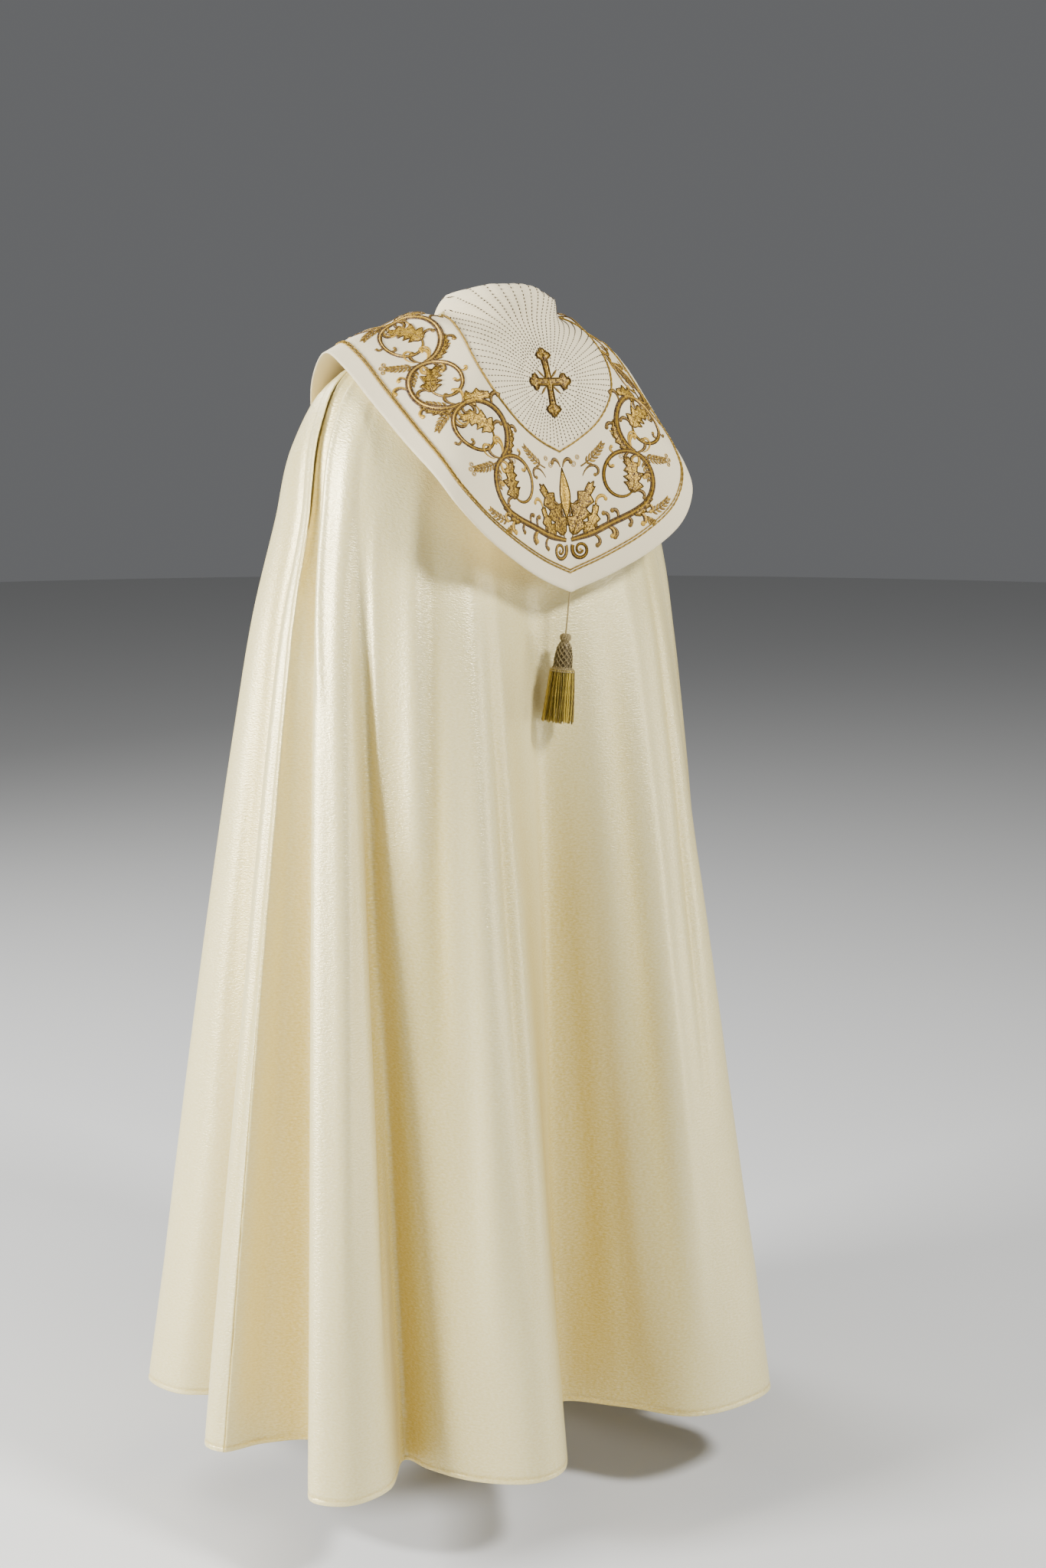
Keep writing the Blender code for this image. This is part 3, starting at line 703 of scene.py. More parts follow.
class Nodes:
    """Short hand for a node tree: adds nodes, feeds and links them."""

    MIX_COLORS, MIX_RESULT = (6, 7), 2

    def __init__(self, tree: bpy.types.NodeTree) -> None:
        """Keep the tree."""
        self.tree = tree

    def add(self, kind: str, **values: object) -> bpy.types.Node:
        """Add a node and set its own properties by name."""
        node = self.tree.nodes.new(kind)
        for name, value in values.items():
            setattr(node, name, value)
        return node

    def link(self, source: bpy.types.NodeSocket, node: bpy.types.Node, socket: str | int) -> None:
        """Link an output to a named or numbered input."""
        self.tree.links.new(source, node.inputs[socket])

    def feed(self, value: object, node: bpy.types.Node, socket: str | int) -> None:
        """Link an output to an input, or set the input to a number or a colour."""
        if isinstance(value, bpy.types.NodeSocket):
            self.link(value, node, socket)
        else:
            node.inputs[socket].default_value = (*value, 1.0) if isinstance(value, tuple) else value

    def math(self, operation: str, first: object, second: object = 0.0) -> bpy.types.NodeSocket:
        """A math node on two sockets or numbers; its output."""
        node = self.add("ShaderNodeMath", operation=operation)
        self.feed(first, node, 0)
        self.feed(second, node, 1)
        return node.outputs[0]

    def spread(self, value: bpy.types.NodeSocket, middle: float, factor: float) -> bpy.types.NodeSocket:
        """How far a value is from a middle, times a factor."""
        return self.math("MULTIPLY", self.math("SUBTRACT", value, middle), factor)

    def mixed(self, mask: bpy.types.NodeSocket, first: Color | bpy.types.NodeSocket,
              second: Color) -> bpy.types.NodeSocket:
        """A colour mix by a mask; its output."""
        node = self.add("ShaderNodeMix", data_type="RGBA")
        self.link(mask, node, "Factor")
        for socket, value in zip(self.MIX_COLORS, (first, second)):
            self.feed(value, node, socket)
        return node.outputs[self.MIX_RESULT]

    def pattern(self) -> bpy.types.NodeSocket:
        """Pattern coordinates of the piece, in metres."""
        return self.add("ShaderNodeUVMap", uv_map="pattern").outputs["UV"]

    def tone(self) -> bpy.types.NodeSocket:
        """The piece's own tone at each point, from 0 to 1."""
        return self.add("ShaderNodeAttribute", attribute_name="tone").outputs["Fac"]


def new_group(name: str, inputs: dict[str, float], outputs: Sequence[str]) -> Nodes:
    """Empty shader node group with a vector input, number inputs and number outputs.

    Args:
        name: the group's name.
        inputs: name and first value of each number input.
        outputs: name of each number output.

    Returns:
        The group's tree, with "in" and "out" nodes.
    """
    tree = bpy.data.node_groups.new(name, "ShaderNodeTree")
    tree.interface.new_socket("Vector", in_out="INPUT", socket_type="NodeSocketVector")
    for label, value in inputs.items():
        socket = tree.interface.new_socket(label, in_out="INPUT", socket_type="NodeSocketFloat")
        socket.default_value = value
    for label in outputs:
        tree.interface.new_socket(label, in_out="OUTPUT", socket_type="NodeSocketFloat")
    nodes = Nodes(tree)
    nodes.add("NodeGroupInput").name = "in"
    nodes.add("NodeGroupOutput").name = "out"
    return nodes


def set_up(node: bpy.types.Node, **values: object) -> None:
    """Set a node's inputs by name, with a low line for each space in the name."""
    for label, value in values.items():
        node.inputs[label.replace("_", " ")].default_value = value


def grain_group() -> bpy.types.NodeTree:
    """Crepe grain: short uneven slubs across the cloth, and broad soft patches."""
    nodes = new_group("cloth grain", {"Fineness": 700.0, "Slub": 2.4}, ("Grain", "Patches"))
    source, sink = nodes.tree.nodes["in"], nodes.tree.nodes["out"]
    stretch = nodes.add("ShaderNodeCombineXYZ")
    set_up(stretch, Y=1.0, Z=1.0)
    nodes.link(nodes.math("DIVIDE", 1.0, source.outputs["Slub"]), stretch, "X")
    drawn = nodes.add("ShaderNodeVectorMath", operation="MULTIPLY")
    nodes.link(source.outputs["Vector"], drawn, 0)
    nodes.link(stretch.outputs[0], drawn, 1)
    slubs = nodes.add("ShaderNodeTexNoise")
    set_up(slubs, Detail=2.0, Roughness=0.7)
    nodes.link(drawn.outputs[0], slubs, "Vector")
    nodes.link(source.outputs["Fineness"], slubs, "Scale")
    patches = nodes.add("ShaderNodeTexNoise")
    set_up(patches, Scale=9.0, Detail=3.0)
    nodes.link(source.outputs["Vector"], patches, "Vector")
    nodes.link(slubs.outputs["Fac"], sink, "Grain")
    nodes.link(patches.outputs["Fac"], sink, "Patches")
    return nodes.tree


def weave_group() -> bpy.types.NodeTree:
    """Plain weave: warp and weft threads crossing in turn."""
    nodes = new_group("plain weave", {"Threads": 1400.0}, ("Height",))
    source, sink = nodes.tree.nodes["in"], nodes.tree.nodes["out"]
    parts = nodes.add("ShaderNodeSeparateXYZ")
    nodes.link(source.outputs["Vector"], parts, 0)
    turn = nodes.math("MULTIPLY", source.outputs["Threads"], math.pi)
    warp = nodes.math("SINE", nodes.math("MULTIPLY", parts.outputs["X"], turn))
    weft = nodes.math("SINE", nodes.math("MULTIPLY", parts.outputs["Y"], turn))
    nodes.link(nodes.math("MULTIPLY", warp, weft), sink, "Height")
    return nodes.tree


def thread_group() -> bpy.types.NodeTree:
    """Laid threads: one ridge a thread along the first coordinate, each of its own tone."""
    nodes = new_group("laid threads", {"Pitch": 0.00045}, ("Height", "Tone"))
    source, sink = nodes.tree.nodes["in"], nodes.tree.nodes["out"]
    parts = nodes.add("ShaderNodeSeparateXYZ")
    nodes.link(source.outputs["Vector"], parts, 0)
    number = nodes.math("DIVIDE", parts.outputs["X"], source.outputs["Pitch"])
    ridge = nodes.math("SINE", nodes.math("MULTIPLY", number, 2 * math.pi))
    noise = nodes.add("ShaderNodeTexWhiteNoise", noise_dimensions="1D")
    nodes.link(nodes.math("FLOOR", number), noise, "W")
    nodes.link(ridge, sink, "Height")
    nodes.link(noise.outputs["Value"], sink, "Tone")
    return nodes.tree


GRAIN = grain_group()
WEAVE = weave_group()
THREADS = thread_group()


def dressed(name: str) -> tuple[bpy.types.Material, Nodes, bpy.types.Node]:
    """New node material.

    Args:
        name: the material's name.

    Returns:
        The material, its tree and its Principled BSDF.
    """
    finish = bpy.data.materials.new(name)
    finish.use_nodes = True
    return finish, Nodes(finish.node_tree), finish.node_tree.nodes["Principled BSDF"]


def placed_group(nodes: Nodes, tree: bpy.types.NodeTree, vector: bpy.types.NodeSocket,
                 **values: float) -> bpy.types.Node:
    """Place a shared group in a material.

    Args:
        nodes: the material's tree.
        tree: the group.
        vector: its coordinates.
        values: its number inputs by name.

    Returns:
        The group's node.
    """
    group = nodes.add("ShaderNodeGroup", node_tree=tree)
    nodes.link(vector, group, "Vector")
    set_up(group, **values)
    return group


def raised(nodes: Nodes, shader: bpy.types.Node,
           layers: Sequence[tuple[bpy.types.NodeSocket, float]]) -> None:
    """Chain of bumps on a shader's normal, each a height socket and its depth in metres."""
    normal = None
    for height, depth in layers:
        bump = nodes.add("ShaderNodeBump")
        set_up(bump, Distance=depth)
        nodes.link(height, bump, "Height")
        if normal is not None:
            nodes.link(normal, bump, "Normal")
        normal = bump.outputs["Normal"]
    nodes.link(normal, shader, "Normal")


@dataclass(frozen=True)
class SatinFinish:
    """Cream satin with a crepe grain, and a painted shade, darker and yellower, in the depth of its folds."""

    name: str
    color: Color
    # colour of the painted shade in the folds' depths, troughs and grooves
    warm: Color
    pale: Color
    roughness: float
    patchiness: float = 0.12
    fineness: float = 430.0
    slub: float = 2.0
    grain_depth: float = 0.0007
    threads: float = 1300.0
    weave_depth: float = 0.00003
    fleck_middle: float = 0.36
    fleck: float = 0.9
    metallic: float = 0.20
    specular: float = 0.80
    sheen: float = 0.10
    sheen_roughness: float = 0.35

    def material(self) -> bpy.types.Material:
        """The finish as a material."""
        finish, nodes, shader = dressed(self.name)
        place = nodes.pattern()
        grain = placed_group(nodes, GRAIN, place, Fineness=self.fineness, Slub=self.slub)
        weave = placed_group(nodes, WEAVE, place, Threads=self.threads)
        # painted shade: the tone attribute mixes the cloth's colour towards the shade colour
        base = nodes.mixed(nodes.tone(), self.color, self.warm)
        fleck = nodes.spread(grain.outputs["Grain"], self.fleck_middle, self.fleck)
        nodes.link(nodes.mixed(fleck, base, self.pale), shader, "Base Color")
        patches = nodes.math("MULTIPLY", grain.outputs["Patches"], self.patchiness)
        rough = nodes.math("ADD", patches, self.roughness - self.patchiness / 2)
        nodes.link(rough, shader, "Roughness")
        set_up(shader, Sheen_Weight=self.sheen, Sheen_Roughness=self.sheen_roughness,
               Specular_IOR_Level=self.specular, Metallic=self.metallic)
        raised(nodes, shader, ((grain.outputs["Grain"], self.grain_depth),
                               (weave.outputs["Height"], self.weave_depth)))
        return finish


@dataclass(frozen=True)
class HoodFinish:
    """Stiff matte ivory cloth with a fine weave."""

    name: str
    color: Color
    shade: Color
    roughness: float
    patchiness: float = 0.6
    fineness: float = 900.0
    slub: float = 1.4
    grain_depth: float = 0.00012
    threads: float = 1500.0
    weave_depth: float = 0.00004
    specular: float = 0.35
    sheen: float = 0.15

    def material(self) -> bpy.types.Material:
        """The finish as a material."""
        finish, nodes, shader = dressed(self.name)
        place = nodes.pattern()
        grain = placed_group(nodes, GRAIN, place, Fineness=self.fineness, Slub=self.slub)
        weave = placed_group(nodes, WEAVE, place, Threads=self.threads)
        patches = nodes.math("MULTIPLY", grain.outputs["Patches"], self.patchiness)
        nodes.link(nodes.mixed(patches, self.color, self.shade), shader, "Base Color")
        set_up(shader, Roughness=self.roughness, Sheen_Weight=self.sheen,
               Specular_IOR_Level=self.specular)
        raised(nodes, shader, ((grain.outputs["Grain"], self.grain_depth),
                               (weave.outputs["Height"], self.weave_depth)))
        return finish


@dataclass(frozen=True)
class ThreadFinish:
    """Metal-wrapped embroidery thread, between a dark and a bright tone."""

    name: str
    dark: Color
    bright: Color
    roughness: float
    metallic: float
    pitch: float
    flecks: float = 0.0
    tone_spread: float = 0.34
    thread_depth: float = 0.00005
    fleck_spread: float = 0.9
    fleck_depth: float = 0.0005

    def material(self) -> bpy.types.Material:
        """The finish as a material; with flecks it is a granular filling, not laid threads."""
        finish, nodes, shader = dressed(self.name)
        place, tone = nodes.pattern(), nodes.tone()
        threads = placed_group(nodes, THREADS, place, Pitch=self.pitch)
        loose = nodes.spread(threads.outputs["Tone"], 0.5, self.tone_spread)
        mask = nodes.math("ADD", tone, loose)
        layer = threads.outputs["Height"], self.thread_depth
        if self.flecks:
            cells = nodes.add("ShaderNodeTexVoronoi")
            set_up(cells, Scale=self.flecks)
            nodes.link(place, cells, "Vector")
            split = nodes.add("ShaderNodeSeparateColor")
            nodes.link(cells.outputs["Color"], split, 0)
            mask = nodes.math("ADD", mask, nodes.spread(split.outputs[0], 0.5, self.fleck_spread))
            layer = cells.outputs["Distance"], self.fleck_depth
        clamp = nodes.add("ShaderNodeClamp")
        nodes.link(mask, clamp, "Value")
        # the tone mixes dark to bright; on the ribbons it holds brown outlines with painted highlight and
        # painted shade across the strands
        nodes.link(nodes.mixed(clamp.outputs[0], self.dark, self.bright), shader, "Base Color")
        set_up(shader, Roughness=self.roughness, Metallic=self.metallic)
        raised(nodes, shader, (layer,))
        return finish


class Finish(Enum):
    """Every finish of the cope."""

    # satin colour, then the painted shade of its folds' depths and grooves, then the grain's pale flecks
    SATIN = SatinFinish("cream satin", (0.76, 0.645, 0.285), (0.60, 0.445, 0.080),
                        (0.98, 0.92, 0.66), 0.33)
    IVORY = HoodFinish("ivory hood cloth", (0.80, 0.70, 0.47), (0.68, 0.57, 0.34), 0.66)
    SCROLL = ThreadFinish("scroll thread", (0.030, 0.009, 0.0008), (0.62, 0.37, 0.040),
                          0.40, 0.35, 0.00060)
    FILL = ThreadFinish("leaf filling", (0.045, 0.016, 0.0010), (0.68, 0.42, 0.052),
                        0.36, 0.40, 0.00050, 750.0)
    BORDER = ThreadFinish("border cord", (0.070, 0.026, 0.002), (0.66, 0.42, 0.060),
                          0.36, 0.40, 0.00045)
    RAY = ThreadFinish("ray stitch", (0.022, 0.014, 0.007), (0.070, 0.044, 0.020),
                       0.6, 0.1, 0.00030)
    SEWING = ThreadFinish("sewing thread", (0.52, 0.40, 0.20), (0.74, 0.62, 0.38),
                          0.5, 0.0, 0.00030)
    NETTED = ThreadFinish("netted tassel thread", (0.080, 0.050, 0.013), (0.66, 0.52, 0.24),
                          0.42, 0.35, 0.00040)
    BULLION = ThreadFinish("bullion strand", (0.060, 0.031, 0.0012), (0.88, 0.64, 0.085),
                           0.32, 0.45, 0.00040)

    @property
    def material(self) -> bpy.types.Material:
        """The finish's material, made when it is first asked for."""
        found = bpy.data.materials.get(self.value.name)
        return found or self.value.material()


def dress(piece: bpy.types.Object, finish: Finish) -> bpy.types.Object:
    """Give a piece its finish."""
    piece.data.materials.append(finish.material)
    return piece


def closed_wall(outer: Array, inner: Array) -> tuple[Array, Array]:
    """Closed wall between two grids of points, with rounded rims.

    Args:
        outer: rows and columns of the outer face.
        inner: the same of the inner face.

    Returns:
        The wall's points, and its faces.
    """
    rows, columns = outer.shape[:2]
    skin = grid_faces(rows, columns)
    index = np.arange(rows * columns).reshape(rows, columns)
    rim = np.concatenate([index[0], index[1:, -1], index[-1, -2::-1], index[-2:0:-1, 0]])
    padded = np.pad(outer, ((1, 1), (1, 1), (0, 0)), mode="reflect", reflect_type="odd")
    beside = np.concatenate([padded[0, 1:-1], padded[2:-1, -1], padded[-1, -3:0:-1],
                             padded[-3:1:-1, 0]])
    flat_outer, flat_inner = outer.reshape(-1, 3), inner.reshape(-1, 3)
    middle = (flat_outer[rim] + flat_inner[rim]) / 2
    thickness = np.linalg.norm(flat_outer[rim] - flat_inner[rim], axis=1, keepdims=True)
    middle = middle + unit(beside - flat_outer[rim]) * thickness * RIM_ROUNDNESS
    points = np.concatenate([flat_outer, flat_inner, middle])
    size, ahead = rows * columns, np.roll(rim, -1)
    band = 2 * size + np.arange(len(rim))
    next_band = np.roll(band, -1)
    faces = [skin, skin[:, ::-1] + size,
             np.column_stack([rim, ahead, next_band, band]),
             np.column_stack([band, next_band, ahead + size, rim + size])]
    return points, np.concatenate(faces)


class Crease(NamedTuple):
    """One soft ridge or trough of the mantle, from its upper to its lower end."""

    name: str
    start_fold: float
    start_down: float
    end_fold: float
    end_down: float
    width: float
    height: float


CREASES = (
    Crease("left front ridge", 1.0, 0.30, 1.1, 1.38, 0.018, 0.0045),
    Crease("left front trough", 2.2, 0.25, 2.4, 1.20, 0.020, -0.0045),
    Crease("left chest ridge", 3.1, 0.16, 3.4, 0.90, 0.015, 0.0040),
    Crease("left ridge", 4.3, 0.20, 4.1, 1.30, 0.020, 0.0050),
    Crease("left trough", 5.3, 0.18, 5.5, 1.10, 0.015, -0.0050),
    Crease("left panel trough", 6.7, 0.16, 7.0, 1.35, 0.020, -0.0055),
    Crease("left panel ridge", 8.0, 0.12, 8.5, 1.40, 0.018, 0.0055),
    Crease("trough before the seam", 9.5, 0.10, 9.3, 1.42, 0.010, -0.0045),
    Crease("shoulder recess", 9.8, 0.13, 12.2, 0.50, 0.015, -0.0072),
    Crease("narrow shoulder ridge", 13.3, 0.10, 14.4, 0.54, 0.0058, 0.0042),
    Crease("fold A rib", 15.9, 0.12, 15.0, 1.30, 0.013, 0.0065),
    Crease("filled shoulder after fold A", 17.0, 0.10, 16.9, 0.50, 0.013, 0.0040),
    Crease("trough after fold A", 17.0, 0.52, 16.1, 1.38, 0.010, -0.0065),
    Crease("line before fold B", 17.7, 0.28, 17.5, 0.66, 0.007, 0.0032),
    Crease("fold B rib", 18.9, 0.22, 18.6, 0.74, 0.016, 0.0065),
    Crease("trough after fold B", 19.1, 0.26, 18.8, 1.00, 0.015, -0.0060),
    Crease("fold C rib", 20.0, 0.28, 19.5, 1.34, 0.018, 0.0070),
    Crease("trough after fold C", 20.8, 0.34, 20.4, 1.30, 0.013, -0.0060),
    Crease("rib beside the tassel", 22.4, 0.42, 22.7, 1.20, 0.022, 0.0045),
    Crease("rib below the tassel", 23.4, 0.55, 23.6, 1.40, 0.020, -0.0040),
    Crease("right rib", 24.3, 0.34, 24.4, 1.42, 0.020, 0.0055),
    Crease("right trough", 24.9, 0.40, 25.0, 1.42, 0.016, -0.0050),
    Crease("far rib", 25.5, 0.30, 25.4, 1.40, 0.014, 0.0055),
    Crease("far crease", 26.6, 0.28, 26.0, 1.10, 0.008, -0.0050),
    Crease("far trough", 27.3, 0.26, 27.6, 1.38, 0.018, -0.0050),
    Crease("right arm rib", 28.6, 0.20, 28.9, 1.30, 0.017, 0.0060),
    Crease("right arm trough", 30.1, 0.16, 29.9, 1.10, 0.015, -0.0055),
    Crease("right side rib", 31.6, 0.18, 31.4, 1.36, 0.018, 0.0055),
    Crease("right shoulder recess", 32.4, 0.08, 32.5, 0.85, 0.012, -0.0080),
    Crease("trough after the right seam", 34.0, 0.12, 34.1, 1.40, 0.010, -0.0045),
    Crease("fold G rib", 35.4, 0.14, 35.0, 1.25, 0.014, 0.0060),
    Crease("trough after fold G", 36.6, 0.18, 36.4, 1.05, 0.015, -0.0055),
    Crease("fold H rib", 37.6, 0.16, 37.8, 1.34, 0.018, 0.0055),
    Crease("right chest trough", 38.9, 0.20, 39.1, 1.20, 0.018, -0.0045),
    Crease("right front ridge", 40.1, 0.28, 40.0, 1.36, 0.017, 0.0045),
)


def wall_piece(name: str, outer: Array, inner: Array, pattern: Array, tones: Array | float) -> Piece:
    """A closed wall as a piece, with the same pattern places and tones on both faces.

    Args:
        name: the piece's name.
        outer: rows and columns of the outer face.
        inner: the same of the inner face.
        pattern: two pattern coordinates for each point of a face.
        tones: one tone for each point of a face, or one for all.

    Returns:
        The piece, not made yet.
    """
    points, faces = closed_wall(outer, inner)
    rim = len(points) - 2 * len(pattern)
    tones = np.broadcast_to(tones, len(pattern))
    piece = Piece(name)
    piece.add(points, faces, np.concatenate([pattern, pattern, np.zeros((rim, 2))]),
              np.concatenate([tones, tones, np.zeros(rim)]))
    return piece


@dataclass
class Mantle:
    """The mantle's three panels as fine cloth, with its seams, hems and sewing."""

    cloth: float = 0.0011
    hem_width: float = 0.0065
    groove_depth: float = 0.0007
    seam_ridge: float = 0.0026
    seam_spread: float = 0.0042
    undulation: float = 0.0008
    close_steps: tuple[float, ...] = (0.0, 0.0006, 0.0012, 0.002, 0.003, 0.0045, 0.006,
                                      0.008, 0.0105, 0.0135, 0.017, 0.0215)
    rows: int = 140
    back_columns: int = 290
    side_columns: int = 140

    HEM_SAMPLES = 400
    SEAM_GROOVE, EDGE_GROOVE, HEM_GROOVE, HEM_GROOVE_DEPTH = 0.0011, 0.0012, 0.0016, 1.6
    SEAM_FADE, PUCKER, PUCKER_LENGTH, PUCKER_SEED = 0.55, 0.35, 0.021, 7
    RIPPLE, RIPPLE_LENGTH, RIPPLE_SEED = 0.5, 0.017, 3
    WAVE_LENGTH, WAVE_SEED, WAVE_DRIFT, DRIFT_PACE = 0.060, 21, 0.8, 3.1
    CALM_DOWN, CALM_RUN = 0.18, 0.3
    CREASE_ENDS = 0.8
    # painted shade: how deep a fold must lie, how far down it grows, how high a ridge clears it, and its
    # strength and width in the hem's and the seams' grooves
    WARM_DEPTH, WARM_DOWN, WARM_RUN, COOL_RISE = 0.075, 0.15, 0.6, 0.011
    WARM_HEM, WARM_SEAM, WARM_WIDTH = 0.6, 0.9, 0.0016

    def down_rows(self) -> Array:
        """Ways down the cloth of the fine rows, close together at the hem."""
        close = MANTLE.down[-1] - np.array(self.close_steps[::-1])
        return np.concatenate([np.linspace(0.0, close[0], self.rows, endpoint=False), close])

    def columns(self, start: float, end: float, count: int) -> Array:
        """Places round of the fine columns, close together at both ends."""
        places = np.linspace(start, end, self.HEM_SAMPLES)
        way = run_length(MANTLE.points(places, MANTLE.down[-1:])[0])
        close = np.array(self.close_steps)
        inside = np.linspace(close[-1], way[-1] - close[-1], count)[1:-1]
        return np.interp(np.concatenate([close, inside, way[-1] - close[::-1]]), way, places)

    @staticmethod
    def from_end(way: Array, end: int) -> Array:
        """Distance of each point from the panel's first (0) or last (1) column."""
        return way[:, -1:] - way if end else way

    def relief(self, way: Array, around: Array, down: Array, sewn: tuple[bool, bool]) -> Array:
        """Height of the seams' ridges, the hem's groove and the creases.

        Args:
            way: distance of each point along its row.
            around: place round of each column.
            down: way down of each row.
            sewn: which of the panel's ends are seams.

        Returns:
            The height of each row and column.
        """
        height = np.zeros(way.shape)
        fade = 1 - self.SEAM_FADE * ease(down / MANTLE.down[-1])[:, None]
        for end, is_sewn in enumerate(sewn):
            near = self.from_end(way, end)
            if is_sewn:
                noise = value_noise(down / self.PUCKER_LENGTH, self.PUCKER_SEED + end)[:, None]
                ridge = np.exp(-(near / self.seam_spread) ** 2)
                height += self.seam_ridge * fade * (1 + self.PUCKER * noise) * ridge
                height -= self.groove_depth * np.exp(-(near / self.SEAM_GROOVE) ** 2)
            else:
                beyond = near - self.hem_width * 2
                height -= self.groove_depth * np.exp(-(beyond / self.EDGE_GROOVE) ** 2)
        ripple = 1 + self.RIPPLE * value_noise(way / self.RIPPLE_LENGTH, self.RIPPLE_SEED)
        above = (MANTLE.down[-1] - down)[:, None] - self.hem_width
        groove = np.exp(-(above / self.HEM_GROOVE) ** 2)
        height -= self.HEM_GROOVE_DEPTH * self.groove_depth * ripple * groove
        drift = self.WAVE_DRIFT * np.sin(down * self.DRIFT_PACE)[:, None]
        calm = ease((down - self.CALM_DOWN) / self.CALM_RUN)[:, None]
        height += self.undulation * value_noise(way / self.WAVE_LENGTH + drift, self.WAVE_SEED) * calm
        for crease in CREASES:
            height += self.crease_height(crease, way, around, down)
        return height

    @classmethod
    def crease_height(cls, crease: Crease, way: Array, around: Array, down: Array) -> Array:
        """Height that one crease adds at each point."""
        share = (down - crease.start_down) / (crease.end_down - crease.start_down)
        share_on = np.clip(share, 0.0, 1.0)
        start, end = np.interp((crease.start_fold, crease.end_fold), np.arange(len(FOLDS)), MANTLE.knots)
        middle = start + (end - start) * share_on
        at = np.array([np.interp(place, around, row) for place, row in zip(middle, way)])
        missed = np.maximum(around[0] - middle, middle - around[-1])
        rise = np.sin(math.pi * share_on) ** cls.CREASE_ENDS * (missed < 0.0)
        return crease.height * rise[:, None] * np.exp(-((way - at[:, None]) / crease.width) ** 2)

    def warmth(self, way: Array, around: Array, down: Array, raised_by: Array,
               sewn: tuple[bool, bool]) -> Array:
        """Painted shade of the cloth: deeper in the depth of a fold and in a trough, less on a ridge, and in
        the hem's groove and along a seam.

        Args:
            way: distance of each point along its row.
            around: place round of each column.
            down: way down of each row.
            raised_by: the relief's height at each point.
            sewn: which of the panel's ends are seams.

        Returns:
            The painted shade of each row and column, from 0 to 1.
        """
        deep = np.clip(-MANTLE.depth(around) / self.WARM_DEPTH, 0.0, 1.0)[None]
        warm = deep * ease((down / MANTLE.down[-1] - self.WARM_DOWN) / self.WARM_RUN)[:, None]
        # painted shade thins where the relief rises and deepens where it sinks
        warm = warm - raised_by / self.COOL_RISE
        # painted shade in the hem's groove
        above = MANTLE.down[-1] - down[:, None] - self.hem_width
        warm += self.WARM_HEM * np.exp(-(above / self.WARM_WIDTH) ** 2)
        # painted shade in each seam's groove
        for end, is_sewn in enumerate(sewn):
            near = self.from_end(way, end)
            warm += self.WARM_SEAM * is_sewn * np.exp(-(near / self.WARM_WIDTH) ** 2)
        return np.clip(warm, 0.0, 1.0)

    def panel(self, name: str, start: float, end: float, count: int,
              sewn: tuple[bool, bool]) -> None:
        """One panel.

        Args:
            name: its node.
            start: place round of its first column.
            end: place round of its last column.
            count: number of its even columns.
            sewn: which of its ends are seams.
        """
        down, around = self.down_rows(), self.columns(start, end, count)
        points = MANTLE.points(around, down)
        way = run_length(points.transpose(1, 0, 2)).T
        raised_by = self.relief(way, around, down, sewn)
        outer = points + face_normals(points) * raised_by[..., None]
        normals = face_normals(outer)
        inner = outer - normals * self.cloth
        pattern = np.stack(np.broadcast_arrays(way - way[:, -1:] / 2, -down[:, None]), axis=-1)
        # painted shade of folds, troughs and grooves, carried to the satin in the tone attribute
        tones = self.warmth(way, around, down, raised_by, sewn)
        piece = wall_piece(name + "_cloth", outer, inner, pattern.reshape(-1, 2), tones.ravel())
        cloth = dress(piece.make(), Finish.SATIN)
        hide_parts(name)
        sewing = Piece(name + "_sewing")
        row = int(np.argmin(np.abs(MANTLE.down[-1] - down - self.hem_width)))
        sewn_line(sewing, outer[row], normals[row])
        near = int(np.argmin(np.abs(np.array(self.close_steps) - 2 * self.hem_width)))
        for column, is_sewn in zip((near, -1 - near), sewn):
            if not is_sewn:
                sewn_line(sewing, outer[:, column], normals[:, column])
        thread = dress(sewing.make(), Finish.SEWING)
        thread.parent = cloth

    def build(self) -> None:
        """Build the three panels."""
        left, right = MANTLE.fold_knot("side seam, left"), MANTLE.fold_knot("side seam, right")
        last = float(MANTLE.knots[-1])
        self.panel("mantle_left", 0.0, left, self.side_columns, (False, True))
        self.panel("mantle_back", left, right, self.back_columns, (True, True))
        self.panel("mantle_right", right, last, self.side_columns, (True, False))


STITCH_LENGTH, STITCH_PITCH, STITCH_RADIUS = 0.0024, 0.0032, 0.00028
STITCH_RISE, STITCH_DIP, STITCH_TONE, STITCH_PATTERN = 0.6, 0.4, 0.6, 0.001
STITCH_FACES = np.array([(0, 1, 2), (0, 2, 3), (0, 3, 4), (0, 4, 1),
                         (5, 2, 1), (5, 3, 2), (5, 4, 3), (5, 1, 4)])
CORD_STRANDS, CORD_WAIST, CORD_SHADE, CORD_CAP = 2, 0.74, 0.45, 0.02


